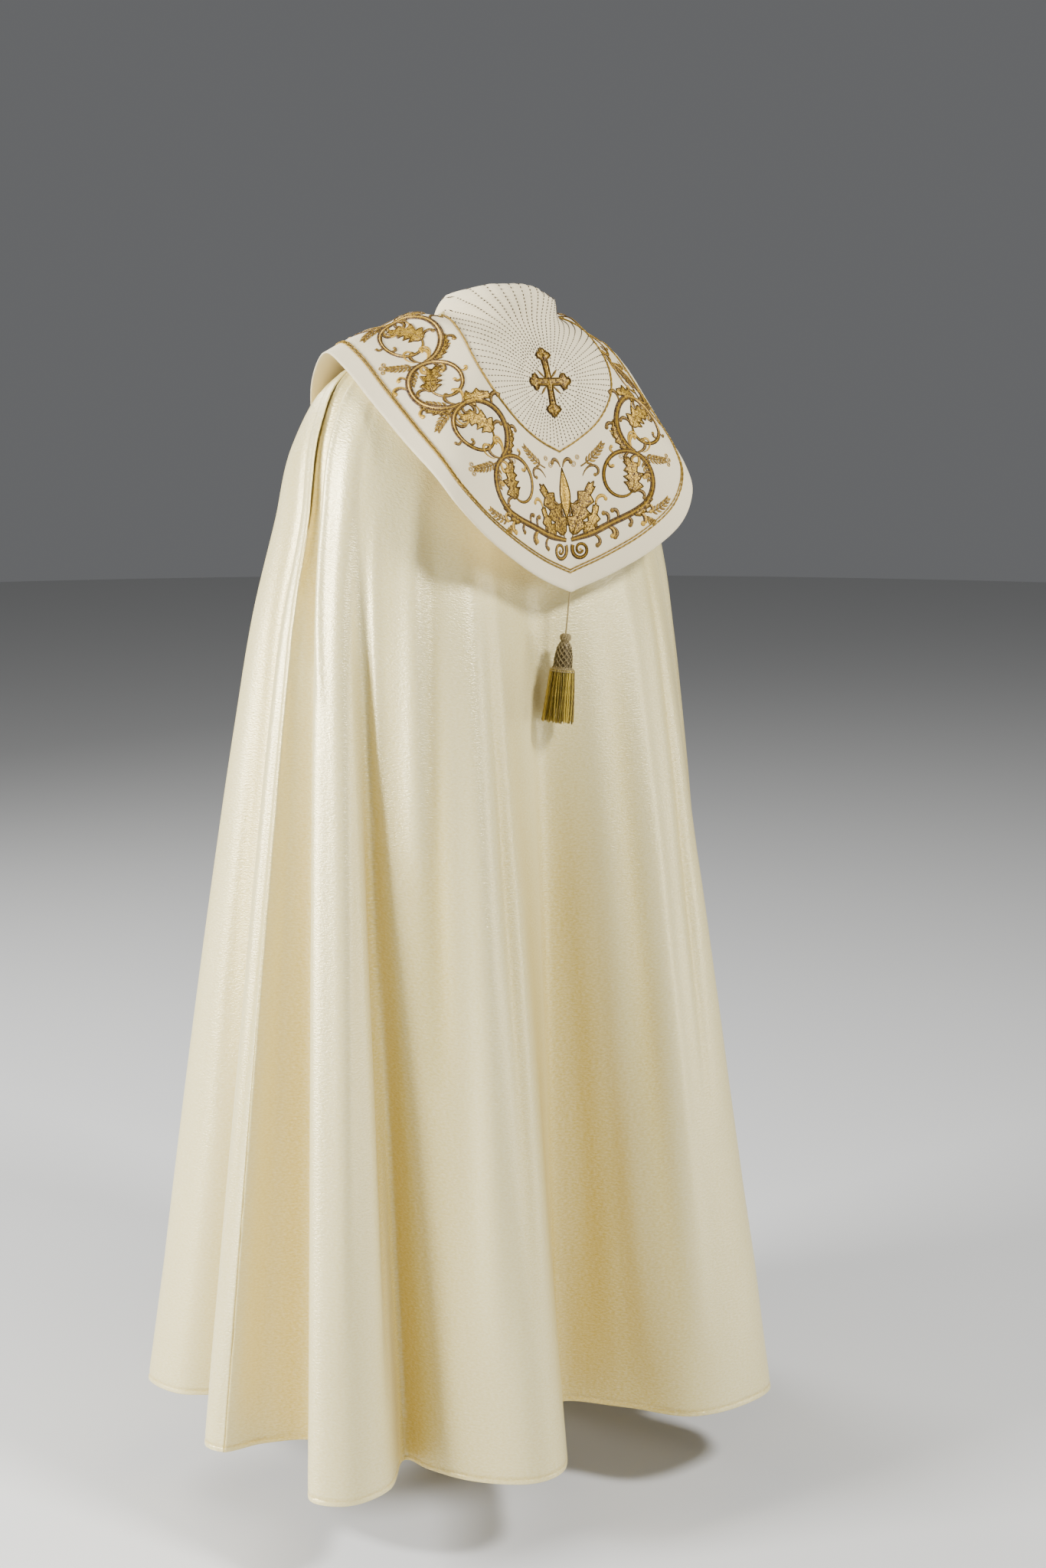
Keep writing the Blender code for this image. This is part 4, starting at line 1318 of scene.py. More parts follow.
def stitch_row(piece: Piece, starts: Array, ends: Array, normals: Array, radius: float) -> None:
    """Straight stitches, each a slim spindle that dips into the cloth at both ends.

    Args:
        piece: where they are added.
        starts: first end of each stitch.
        ends: last end of each stitch.
        normals: the cloth's normal at each stitch.
        radius: the thread's radius.
    """
    count = len(starts)
    side = unit(np.cross(unit(ends - starts), normals))
    middle = (starts + ends) / 2 + normals * radius * STITCH_RISE
    ring = np.stack([middle + side * radius, middle + normals * radius,
                     middle - side * radius, middle - normals * radius], axis=1)
    low = normals * radius * STITCH_DIP
    points = np.concatenate([(starts - low)[:, None], ring, (ends - low)[:, None]], axis=1)
    faces = (np.arange(count)[:, None, None] * 6 + STITCH_FACES[None]).reshape(-1, 3)
    uvs = np.tile([[0.0, 0.0]] + [[0.5, 0.0]] * 4 + [[1.0, 0.0]], (count, 1))
    piece.add(points.reshape(-1, 3), faces, uvs * STITCH_PATTERN, np.full(count * 6, STITCH_TONE))


def sewn_line(piece: Piece, line: Array, normals: Array) -> None:
    """A row of straight stitches along a line of points on the cloth."""
    way = run_length(line)
    starts = np.arange(STITCH_PITCH, way[-1] - STITCH_PITCH, STITCH_PITCH)
    stitch_row(piece, read_line(starts, way, line), read_line(starts + STITCH_LENGTH, way, line),
               unit(read_line(starts, way, normals)), STITCH_RADIUS)


def twisted_cord(piece: Piece, path: Array, normals: Array, radius: float, pitch: float,
                 sides: int = 8, tone: float = 0.75, capped: bool = True) -> None:
    """Round cord of twisted strands along a path.

    Args:
        piece: where it is added.
        path: its centre line.
        normals: a direction across the path at each point.
        radius: its outer radius.
        pitch: length of one full turn of its strands.
        sides: points round it.
        tone: its tone on the strands' crowns.
        capped: True where its ends are rounded off.
    """
    along = unit(np.gradient(path, axis=0))
    side = unit(np.cross(along, normals))
    across = np.cross(side, along)
    way = run_length(path)
    round_it = np.linspace(0.0, 2 * math.pi, sides, endpoint=False)[None]
    twist = (way * 2 * math.pi / pitch)[:, None]
    turn = round_it + twist
    wave = (1 + np.cos(CORD_STRANDS * (turn - 2 * twist))) / 2
    reach = radius * (CORD_WAIST + (1 - CORD_WAIST) * wave)
    if capped:
        end = np.clip(np.minimum(way, way[-1] - way) / radius, 0, 1)
        reach = reach * np.sqrt(np.clip(1 - (1 - end) ** 2, CORD_CAP, 1))[:, None]
    points = (path[:, None] + side[:, None] * (reach * np.cos(turn))[..., None]
              + across[:, None] * (reach * np.sin(turn))[..., None])
    uvs = np.stack(np.broadcast_arrays(way[:, None] + radius * round_it, way[:, None]), axis=-1)
    piece.add(points.reshape(-1, 3), grid_faces(len(path), sides, closed=True), uvs.reshape(-1, 2),
              (tone * (CORD_SHADE + (1 - CORD_SHADE) * wave)).reshape(-1))


class Ribbon(NamedTuple):
    """Cross-section of a laid-stitch ribbon: places across, their heights and tones."""

    across: tuple[float, ...]
    heights: tuple[float, ...]
    # tones: the brown outline threads at the edges, with painted highlight on each strand's crown and painted
    # shade in the grooves
    tones: tuple[float, ...]


class RibbonKind(Enum):
    """The laid-stitch ribbons of the embroidery."""

    # The tones follow the heights: brown threads darken the outlines, and painted highlight and painted shade
    # make each strand bright on its crown and dark in its grooves. LOBE is darker along one edge: brown
    # thread together with painted shade.
    STEM = Ribbon((-1.0, -0.84, -0.58, -0.36, -0.30, 0.0, 0.30, 0.36, 0.58, 0.84, 1.0),
                  (-0.1, 0.60, 0.74, 0.36, 0.42, 1.0, 0.42, 0.36, 0.74, 0.60, -0.1),
                  (0.0, 0.03, 0.16, 0.0, 0.50, 0.90, 0.50, 0.0, 0.16, 0.03, 0.0))
    GOLD = Ribbon((-1.0, -0.6, 0.0, 0.6, 1.0), (-0.1, 0.75, 1.0, 0.75, -0.1),
                  (0.20, 0.72, 0.95, 0.72, 0.20))
    BROWN = Ribbon((-1.0, -0.6, 0.0, 0.6, 1.0), (-0.1, 0.75, 1.0, 0.75, -0.1),
                   (0.0, 0.10, 0.36, 0.10, 0.0))
    LOBE = Ribbon((-1.0, -0.7, -0.2, 0.3, 0.75, 1.0), (-0.1, 0.7, 1.0, 0.95, 0.65, -0.1),
                  (0.0, 0.06, 0.30, 0.85, 0.70, 0.10))


def walk(turns: Array, length: float) -> Array:
    """Flat path from the origin that follows a direction for each point."""
    steps = compass(turns) * length / (len(turns) - 1)
    return np.concatenate([[(0.0, 0.0)], np.cumsum(steps[:-1], axis=0)])


@dataclass
class Embroidery:
    """Embroidery drawn on the flat pattern's left half and carried to both halves."""

    name: str
    finish: Finish
    flats: list[Array] = field(default_factory=list)
    lifts: list[Array] = field(default_factory=list)
    faces: list[Array] = field(default_factory=list)
    uvs: list[Array] = field(default_factory=list)
    tones: list[Array] = field(default_factory=list)
    count: int = 0
    seed: int = 1

    CROOK_HEIGHT, CROOK_HEAD, CROOK_SPREAD, EARLY_BEND, LATE_BEND = 0.0012, 0.74, 1.25, 0.25, 2.6
    CROOK_WIDTHS = (0.0, 0.3, 0.72, 0.93, 1.0), (0.30, 0.60, 1.0, 0.84, 0.6)
    DOT_SIDES, DOT_HEIGHT, DOT_CROWN, DOT_SHADE = 10, 0.0014, 0.6, 0.4
    DOT_LIFTS = (0.9, 0.75, -0.1)
    RING_POINTS, RING_HEIGHT, EDGE_HEIGHT = 19, 0.55, 0.3
    BERRY_WIDTH, BERRY_HEART, BERRY_HEART_WIDTH = 0.0011, 0.5, 0.0009
    BERRY_AWAY, BERRY_RADIUS = 0.0075, 0.0026
    SPRIG_WIDTHS, SPRIG_HEIGHT = (0.0024, 0.0014), 0.0009
    LEAFLET_WIDTH, LEAFLET_HEIGHT, LEAFLET_BEND = 0.0036, 0.0008, 0.35
    EDGE_STEP, FILL_STEP, FILL_JITTER, FILL_APART = 0.0012, 0.0016, 0.35, 0.55
    FILL_CROWN, FILL_EDGE, FILL_ROUGHNESS, FILL_TONES = 0.0010, 0.15, 0.30, 0.34
    CLOSE = 1e-7

    def add(self, flat: Array, lift: Array, faces: Array, uvs: Array, tones: Array) -> None:
        """Add one patch: flat places, heights, faces, thread coordinates and tones."""
        self.flats.append(flat)
        self.lifts.append(lift)
        self.faces.append(faces + self.count)
        self.uvs.append(uvs)
        self.tones.append(tones)
        self.count += len(flat)

    def ribbon(self, path: Array, widths: Array, height: float, kind: RibbonKind,
               tone: float = 1.0) -> None:
        """A laid-stitch ribbon.

        Args:
            path: its middle line, flat.
            widths: its full width at each point.
            height: height of its crown where it is widest.
            kind: its cross-section.
            tone: factor on the tones.
        """
        shape = kind.value
        along = unit(np.gradient(path, axis=0))
        aside = left_of(along)
        across, heights = np.array(shape.across), np.array(shape.heights)
        flat = path[:, None] + aside[:, None] * (across * widths[:, None] / 2)[..., None]
        share = np.clip(widths / max(widths.max(), 1e-6), 0.0, 1.0)[:, None] ** 0.6
        way = run_length(path)
        uvs = np.stack(np.broadcast_arrays(way[:, None], across[None] * widths[:, None] / 2), axis=-1)
        # tones across the ribbon: brown outline threads, painted highlight on the strands' crowns, painted
        # shade in their grooves
        tones = np.broadcast_to(np.array(shape.tones) * tone, flat.shape[:2])
        self.add(flat.reshape(-1, 2), (heights * height * share).ravel(),
                 grid_faces(*flat.shape[:2]), uvs.reshape(-1, 2), tones.reshape(-1))

    def crook(self, base: Array, angle: float, length: float, bend: float, width: float,
              kind: RibbonKind = RibbonKind.BROWN) -> None:
        """A curl that thickens towards its hooked, round-headed end.

        Args:
            base: its thin end.
            angle: its first direction.
            length: its length.
            bend: how far it turns, in radians.
            width: its greatest width.
            kind: its ribbon.
        """
        share = np.linspace(0.0, 1.0, 20)
        turn = angle + bend * (self.EARLY_BEND * share + (1 - self.EARLY_BEND) * share ** self.LATE_BEND)
        path = base + walk(turn, length)
        widths = width * self.CROOK_SPREAD * np.interp(share, *self.CROOK_WIDTHS)
        self.ribbon(path, widths, self.CROOK_HEIGHT, kind)
        self.dot(path[-1], width * self.CROOK_HEAD, 0.30 if kind is RibbonKind.BROWN else 0.9)

    def dot(self, centre: Array, radius: float, tone: float) -> None:
        """A small padded dot."""
        count = self.DOT_SIDES
        ring = compass(np.linspace(0.0, 2 * math.pi, count, endpoint=False))
        flat = np.concatenate([[centre], centre + ring * radius * self.DOT_CROWN, centre + ring * radius])
        lift = np.repeat(self.DOT_LIFTS, (1, count, count)) * min(radius, self.DOT_HEIGHT)
        tones = np.repeat((tone, tone, tone * self.DOT_SHADE), (1, count, count))
        near = np.arange(count) + 1
        ahead = np.roll(near, -1)
        self.add(flat, lift, np.column_stack([np.zeros(count, int), near, ahead]), flat, tones)
        self.faces.append(np.column_stack([near, near + count, ahead + count, ahead])
                          + self.count - len(flat))

    def ring(self, centre: Array, radius: float, width: float, kind: RibbonKind) -> None:
        """A ring of ribbon."""
        path = centre + radius * compass(np.linspace(0.0, 2 * math.pi, self.RING_POINTS))
        self.ribbon(path, np.full(len(path), width), width * self.RING_HEIGHT, kind)

    def berry(self, centre: Array, radius: float) -> None:
        """A berry: two rings, one inside the other."""
        self.ring(centre, radius, self.BERRY_WIDTH, RibbonKind.GOLD)
        self.ring(centre, radius * self.BERRY_HEART, self.BERRY_HEART_WIDTH, RibbonKind.BROWN)

    def fern(self, base: Array, angle: float, length: float, bend: float, leaflet: float,
             pairs: int, berries: bool = False) -> None:
        """A sprig with pairs of small leaflets.

        Args:
            base: its foot.
            angle: its first direction.
            length: its length.
            bend: how far it turns, in radians.
            leaflet: length of its longest leaflets.
            pairs: number of pairs.
            berries: True for berries at its end.
        """
        share = np.linspace(0.0, 1.0, 26)
        turn = angle + bend * share
        path = base + walk(turn, length)
        self.ribbon(path, np.interp(share, (0, 1), self.SPRIG_WIDTHS), self.SPRIG_HEIGHT, RibbonKind.BROWN)
        leaf_share = np.linspace(0.0, 1.0, 6)
        widths = self.LEAFLET_WIDTH * np.sin(math.pi * np.linspace(0.08, 0.97, 6)) ** 0.8
        feet = np.linspace(0.22, 0.97, pairs)
        for number, (at, foot) in enumerate(zip(feet, read_line(feet, share, path))):
            size = leaflet * (0.62 + 0.38 * math.sin(math.pi * (at * 0.9 + 0.08)))
            heading = angle + bend * at
            for side in (-1, 1):
                way = heading + side * (0.95 - 0.35 * at)
                curve = way - side * self.LEAFLET_BEND * leaf_share
                self.ribbon(foot + walk(curve, size), widths, self.LEAFLET_HEIGHT, RibbonKind.GOLD,
                            0.30 + 0.30 * (number % 2))
        if berries:
            for way in (heading - 0.9, heading, heading + 0.9):
                away = self.BERRY_AWAY * np.array([math.cos(way), math.sin(way)])
                self.berry(path[-1] + away, self.BERRY_RADIUS)

    def filled(self, outline: Array, fill: "Embroidery", lift: float, tone: float,
               edge_width: float, edge_kind: RibbonKind, open_ends: bool = False) -> None:
        """A shape of granular filling with a laid-stitch outline.

        Args:
            outline: its closed outline, flat, without a repeated point.
            fill: the embroidery that takes the filling.
            lift: height of the filling.
            tone: tone of the filling.
            edge_width: width of the outline.
            edge_kind: ribbon of the outline.
            open_ends: True where the outline isn't closed by a ribbon, as on the mirror line.
        """
        fill.filling(outline, lift, tone)
        edge = outline if open_ends else np.concatenate([outline, outline[:1]])
        edge = evenly(edge, self.EDGE_STEP)
        self.ribbon(edge, np.full(len(edge), edge_width), lift + edge_width * self.EDGE_HEIGHT, edge_kind)

    def filling(self, outline: Array, lift: float, tone: float) -> None:
        """Granular filling of an outline: uneven height and tone from point to point."""
        step = self.FILL_STEP
        edge = evenly(np.concatenate([outline, outline[:1]]), step)[:-1]
        low, high = edge.min(axis=0), edge.max(axis=0)
        self.seed += 1
        draws = np.random.default_rng(self.seed)
        xs, ys = np.arange(low[0], high[0], step), np.arange(low[1], high[1], step)
        grid = np.stack(np.meshgrid(xs, ys), axis=-1).reshape(-1, 2)
        grid = grid + draws.uniform(-self.FILL_JITTER, self.FILL_JITTER, grid.shape) * step
        ahead = np.roll(edge, -1, axis=0)
        above = (edge[None, :, 1] > grid[:, None, 1]) != (ahead[None, :, 1] > grid[:, None, 1])
        rise = np.where(ahead[:, 1] == edge[:, 1], 1e-9, ahead[:, 1] - edge[:, 1])
        cross = (ahead[:, 0] - edge[:, 0]) * (grid[:, None, 1] - edge[:, 1]) / rise + edge[:, 0]
        inside = (above & (grid[:, None, 0] < cross)).sum(axis=1) % 2 == 1
        apart = np.linalg.norm(grid[:, None] - edge[None], axis=2).min(axis=1) > step * self.FILL_APART
        inner = grid[inside & apart]
        corners = [Vector(place) for place in np.concatenate([edge, inner])]
        sides = [(k, (k + 1) % len(edge)) for k in range(len(edge))]
        around = [list(range(len(edge)))]
        places, _, faces, _, _, _ = delaunay_2d_cdt(corners, sides, around, 1, self.CLOSE)
        flat = np.array([tuple(place) for place in places])
        near = np.linalg.norm(flat[:, None] - edge[None], axis=2).min(axis=1)
        crown = self.FILL_EDGE + (1 - self.FILL_EDGE) * (1 - np.exp(-near / self.FILL_CROWN))
        uneven = 1 + draws.uniform(-self.FILL_ROUGHNESS, self.FILL_ROUGHNESS, len(flat))
        heights = lift * crown * uneven
        loose = draws.uniform(-self.FILL_TONES, self.FILL_TONES, len(flat))
        tones = np.clip(tone + loose, 0.0, 1.0)
        self.add(flat, heights, np.array([list(face) for face in faces if len(face) == 3]), flat, tones)

    def make(self) -> bpy.types.Object:
        """Carry every patch to both halves of the hood as one piece."""
        flat = np.concatenate(self.flats)
        points = HOOD.carried(flat, np.concatenate(self.lifts))
        piece = Piece(self.name)
        uvs, tones = np.concatenate(self.uvs), np.concatenate(self.tones)
        faces = [face for patch in self.faces for face in patch.tolist()]
        quads = np.array([face for face in faces if len(face) == 4]).reshape(-1, 4)
        triangles = np.array([face for face in faces if len(face) == 3]).reshape(-1, 3)
        piece.add(points, quads, uvs, tones)
        piece.faces.append(triangles)
        piece.add(points * MIRROR, quads[:, ::-1], uvs, tones)
        piece.faces.append(triangles[:, ::-1] + len(points))
        return dress(piece.make(), self.finish)


EMBLEM = np.array([0.0, -0.1338])
LINE_TO_EDGE = 0.0235


@dataclass
class HoodCloth:
    """The hood's stiff cloth, quilted between the rays of its middle field."""

    cloth: float = 0.0022
    columns: int = 170
    rolled_rows: int = 11
    sewn_rows: int = 14
    field_rows: int = 72
    rays: int = 72
    puff: float = 0.0008
    flat_size: tuple[float, float] = (0.56, 0.72)
    flat_area: float = 0.27

    PUFF_SHAPE, PUFF_FADE, EMBLEM_REACH = 0.7, 0.006, 0.03
    GROOVE_DEPTH, GROOVE_WIDTH = 0.0006, 0.0018
    RAY_LENGTH, RAY_GAP, RAY_RADIUS, RAY_STARTS, RAY_REACH = 0.0033, 0.0010, 0.00078, (0.022, 0.042), 0.40
    RAY_LIFT, LINE_APART, CREST_APART, MISS = 0.0003, 0.0035, 0.001, 0.0004
    LINE_STEP, LINE_PITCH, LINE_LIFT, PAIR_APART = 0.0012, 0.0042, 0.55, 0.0034

    def relief(self, flat: Array, out: Array, around: Array) -> Array:
        """Height of the quilting and of the couched lines' grooves.

        Args:
            flat: pattern places of the rows and columns.
            out: ways out of the rows.
            around: places of the columns.

        Returns:
            The height of each row and column.
        """
        line = np.interp(around, HOOD.around_table, HOOD.inner_line())
        gap = flat - EMBLEM
        turn = np.arctan2(gap[..., 0], -gap[..., 1])
        reach = np.hypot(gap[..., 0], gap[..., 1])
        wave = np.abs(np.sin(turn * self.rays / 2)) ** self.PUFF_SHAPE
        inside = line[None] - out[:, None]
        height = self.puff * (wave - 0.5) * ease(inside / self.PUFF_FADE)
        height = height * ease((reach - self.EMBLEM_REACH) / self.EMBLEM_REACH)
        return height - self.GROOVE_DEPTH * np.exp(-(inside / self.GROOVE_WIDTH) ** 2)

    def build(self) -> None:
        """Build the cloth and the rays' stitches."""
        around = np.linspace(0.0, HOOD.TIP, self.columns)
        crest, seam, edge = HOOD.out[CREST_ROW], HOOD.out[SEAM_ROW], HOOD.out[-1]
        rolled = np.linspace(0.0, crest, self.rolled_rows, endpoint=False)
        out = np.concatenate([rolled, np.linspace(crest, seam, self.sewn_rows, endpoint=False),
                              np.linspace(seam, edge, self.field_rows)])
        points = HOOD.half_points(around, out)
        normals = HOOD.half_normals(points)
        row = np.interp(out, HOOD.out_table, np.arange(HOOD.FINE_ROWS))
        column = np.interp(around, HOOD.around_table, np.arange(len(HOOD.around_table)))
        rows, columns = np.meshgrid(row, column, indexing="ij")
        flat = HOOD.read(HOOD.flat, rows.ravel(), columns.ravel()).reshape(*rows.shape, 2)
        inwards = unit(flat[len(rolled)] - flat[len(rolled) + 1])
        flat[:len(rolled)] += inwards[None] * (crest - rolled)[:, None, None]
        shown = (out >= crest)[:, None]
        points = points + normals * (self.relief(flat, out, around) * shown)[..., None]
        inner = points - HOOD.half_normals(points) * self.cloth
        inner[:, -1, 0] = points[:, -1, 0] = 0.0
        ways = np.broadcast_to(out[:, None], (len(out), 2 * self.columns - 1))
        outer, inner = (HOOD.slumped(np.concatenate([half, half[:, -2::-1] * MIRROR], axis=1), ways)
                        for half in (points, inner))
        pattern = np.concatenate([flat, flat[:, -2::-1] * MIRROR[:2]], axis=1).reshape(-1, 2)
        cloth = wall_piece("hood_cloth", outer, inner, pattern, 0.0).make()
        cloth = dress(cloth, Finish.IVORY)
        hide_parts("hood")
        pieces = [self.ray_stitches(), self.lines(), *Rinceau().build()]

    def ray_stitches(self) -> bpy.types.Object:
        """Running stitches of every ray, from behind the emblem to the inner line."""
        flats = []
        for ray in range(self.rays // 2 + 1):
            turn = 2 * math.pi * ray / self.rays
            heading = np.array([math.sin(turn), -math.cos(turn)])
            reach = np.arange(self.RAY_STARTS[ray % 2], self.RAY_REACH, self.RAY_LENGTH + self.RAY_GAP)
            flats.append(EMBLEM + reach[:, None] * heading)
        starts = np.concatenate(flats)
        heading = unit(starts - EMBLEM)
        row, column = HOOD.found(np.column_stack([np.maximum(starts[:, 0], 0), starts[:, 1]]))
        missed = np.linalg.norm(HOOD.read(HOOD.flat, row, column) - starts, axis=1)
        out = np.interp(row, np.arange(HOOD.FINE_ROWS), HOOD.out_table)
        line = np.interp(column, np.arange(len(HOOD.around_table)), HOOD.inner_line())
        shown = ((missed < self.MISS) & (out < line - self.LINE_APART)
                 & (out > HOOD.out[CREST_ROW] + self.CREST_APART))
        starts, heading, out = starts[shown], heading[shown], out[shown]
        ends = starts + heading * self.RAY_LENGTH
        first, last = HOOD.carried(starts, self.RAY_LIFT), HOOD.carried(ends, self.RAY_LIFT)
        middle = (starts + ends) / 2
        normals = unit(HOOD.carried(middle, 0.001) - HOOD.carried(middle, 0.0))
        piece = Piece("ray_stitches")
        off = starts[:, 0] > 1e-5
        for side, kept in ((np.ones(3), np.ones_like(off)), (MIRROR, off)):
            stitch_row(piece, *(HOOD.slumped(ends[kept] * side, out[kept]) for ends in (first, last)),
                       normals[kept] * side, self.RAY_RADIUS)
        return dress(piece.make(), Finish.RAY)

    def lines(self) -> bpy.types.Object:
        """The single inner gold line and the double outer one."""
        piece = Piece("gold_lines")
        outer = HOOD.edge_line(LINE_TO_EDGE)
        pair = HOOD.edge_line(LINE_TO_EDGE + self.PAIR_APART)
        for out, radius in ((HOOD.inner_line(), 0.0014), (outer, 0.0013), (pair, 0.0011)):
            points, facing = HOOD.line(out, self.LINE_STEP)
            left = points + facing * radius * self.LINE_LIFT
            path = np.concatenate([left, left[-2::-1] * MIRROR])
            normals = np.concatenate([facing, facing[-2::-1] * MIRROR])
            twisted_cord(piece, path, normals, radius, self.LINE_PITCH, sides=6)
        return dress(piece.make(), Finish.BORDER)


class Scroll(NamedTuple):
    """One circle of the scrolling stem: its centre, its radius and its hand."""

    x: float
    y: float
    radius: float
    hand: int


class Curl(NamedTuple):
    """One free curl: its foot, its first direction in degrees, its length and its bend."""

    x: float
    y: float
    way: float
    length: float
    bend: float
    width: float = 0.0046
    kind: RibbonKind = RibbonKind.BROWN


class Sprig(NamedTuple):
    """One free sprig: its foot, its direction, length, bend, leaflets and their pairs."""

    x: float
    y: float
    way: float
    length: float
    bend: float
    leaflet: float
    pairs: int


class StemCurl(NamedTuple):
    """One curl of the stem: where it starts, its side, its length, width and bend."""

    at: float
    outward: int
    length: float
    width: float
    bend: float


FRONT_CURLS = (
    Curl(0.2000, 0.1640, 128.0, 0.034, 2.8, kind=RibbonKind.LOBE),
    Curl(0.2060, 0.1660, 40.0, 0.028, -2.8, kind=RibbonKind.LOBE),
    Curl(0.1800, 0.1670, 110.0, 0.026, 2.8, kind=RibbonKind.LOBE),
    Curl(0.1560, 0.1560, 150.0, 0.024, -2.8, kind=RibbonKind.LOBE),
)
FRONT_SPRIGS = (
    Sprig(0.2180, 0.1640, 74.0, 0.044, 0.30, 0.0096, 7),
    Sprig(0.1840, 0.1720, 92.0, 0.034, 0.25, 0.0086, 6),
    Sprig(0.1480, 0.1430, 150.0, 0.030, 0.20, 0.0080, 5),
)
TIP_CURLS = (
    Curl(0.0030, -0.3120, 84.0, 0.050, -2.7), Curl(0.0060, -0.3270, 62.0, 0.026, 2.9),
    Curl(0.0340, -0.3245, -20.0, 0.022, -2.9), Curl(0.0560, -0.3165, -12.0, 0.024, -2.8),
    Curl(0.0780, -0.3070, -5.0, 0.020, -2.8), Curl(0.0520, -0.3180, 40.0, 0.024, 2.9),
    Curl(0.0700, -0.3120, 62.0, 0.020, 2.9), Curl(0.0020, -0.2400, 75.0, 0.020, -3.0),
    Curl(0.0300, -0.3250, 92.0, 0.020, -2.8),
)
TIP_SPRIGS = (
    Sprig(0.0290, -0.2400, 22.0, 0.042, 0.5, 0.0100, 7),
    Sprig(0.1130, -0.3050, 0.0, 0.036, 0.8, 0.0094, 6),
    Sprig(0.1070, -0.3100, -38.0, 0.016, 0.3, 0.0074, 4),
)
TIP_HOOKS = (
    Curl(0.0300, -0.2520, 60.0, 0.040, -4.6, 0.0036),
    Curl(0.0440, -0.2980, 100.0, 0.032, -3.4, 0.0040, RibbonKind.GOLD),
)
STEM_CURLS = (
    StemCurl(0.16, 1, 0.022, 0.0046, 2.9), StemCurl(0.30, 1, 0.028, 0.0052, 3.1),
    StemCurl(0.36, 1, 0.019, 0.0040, 3.3), StemCurl(0.47, -1, 0.019, 0.0040, 3.2),
    StemCurl(0.58, -1, 0.022, 0.0044, 3.0), StemCurl(0.70, 1, 0.014, 0.0034, 3.0),
    StemCurl(0.74, -1, 0.015, 0.0036, 3.2),
)


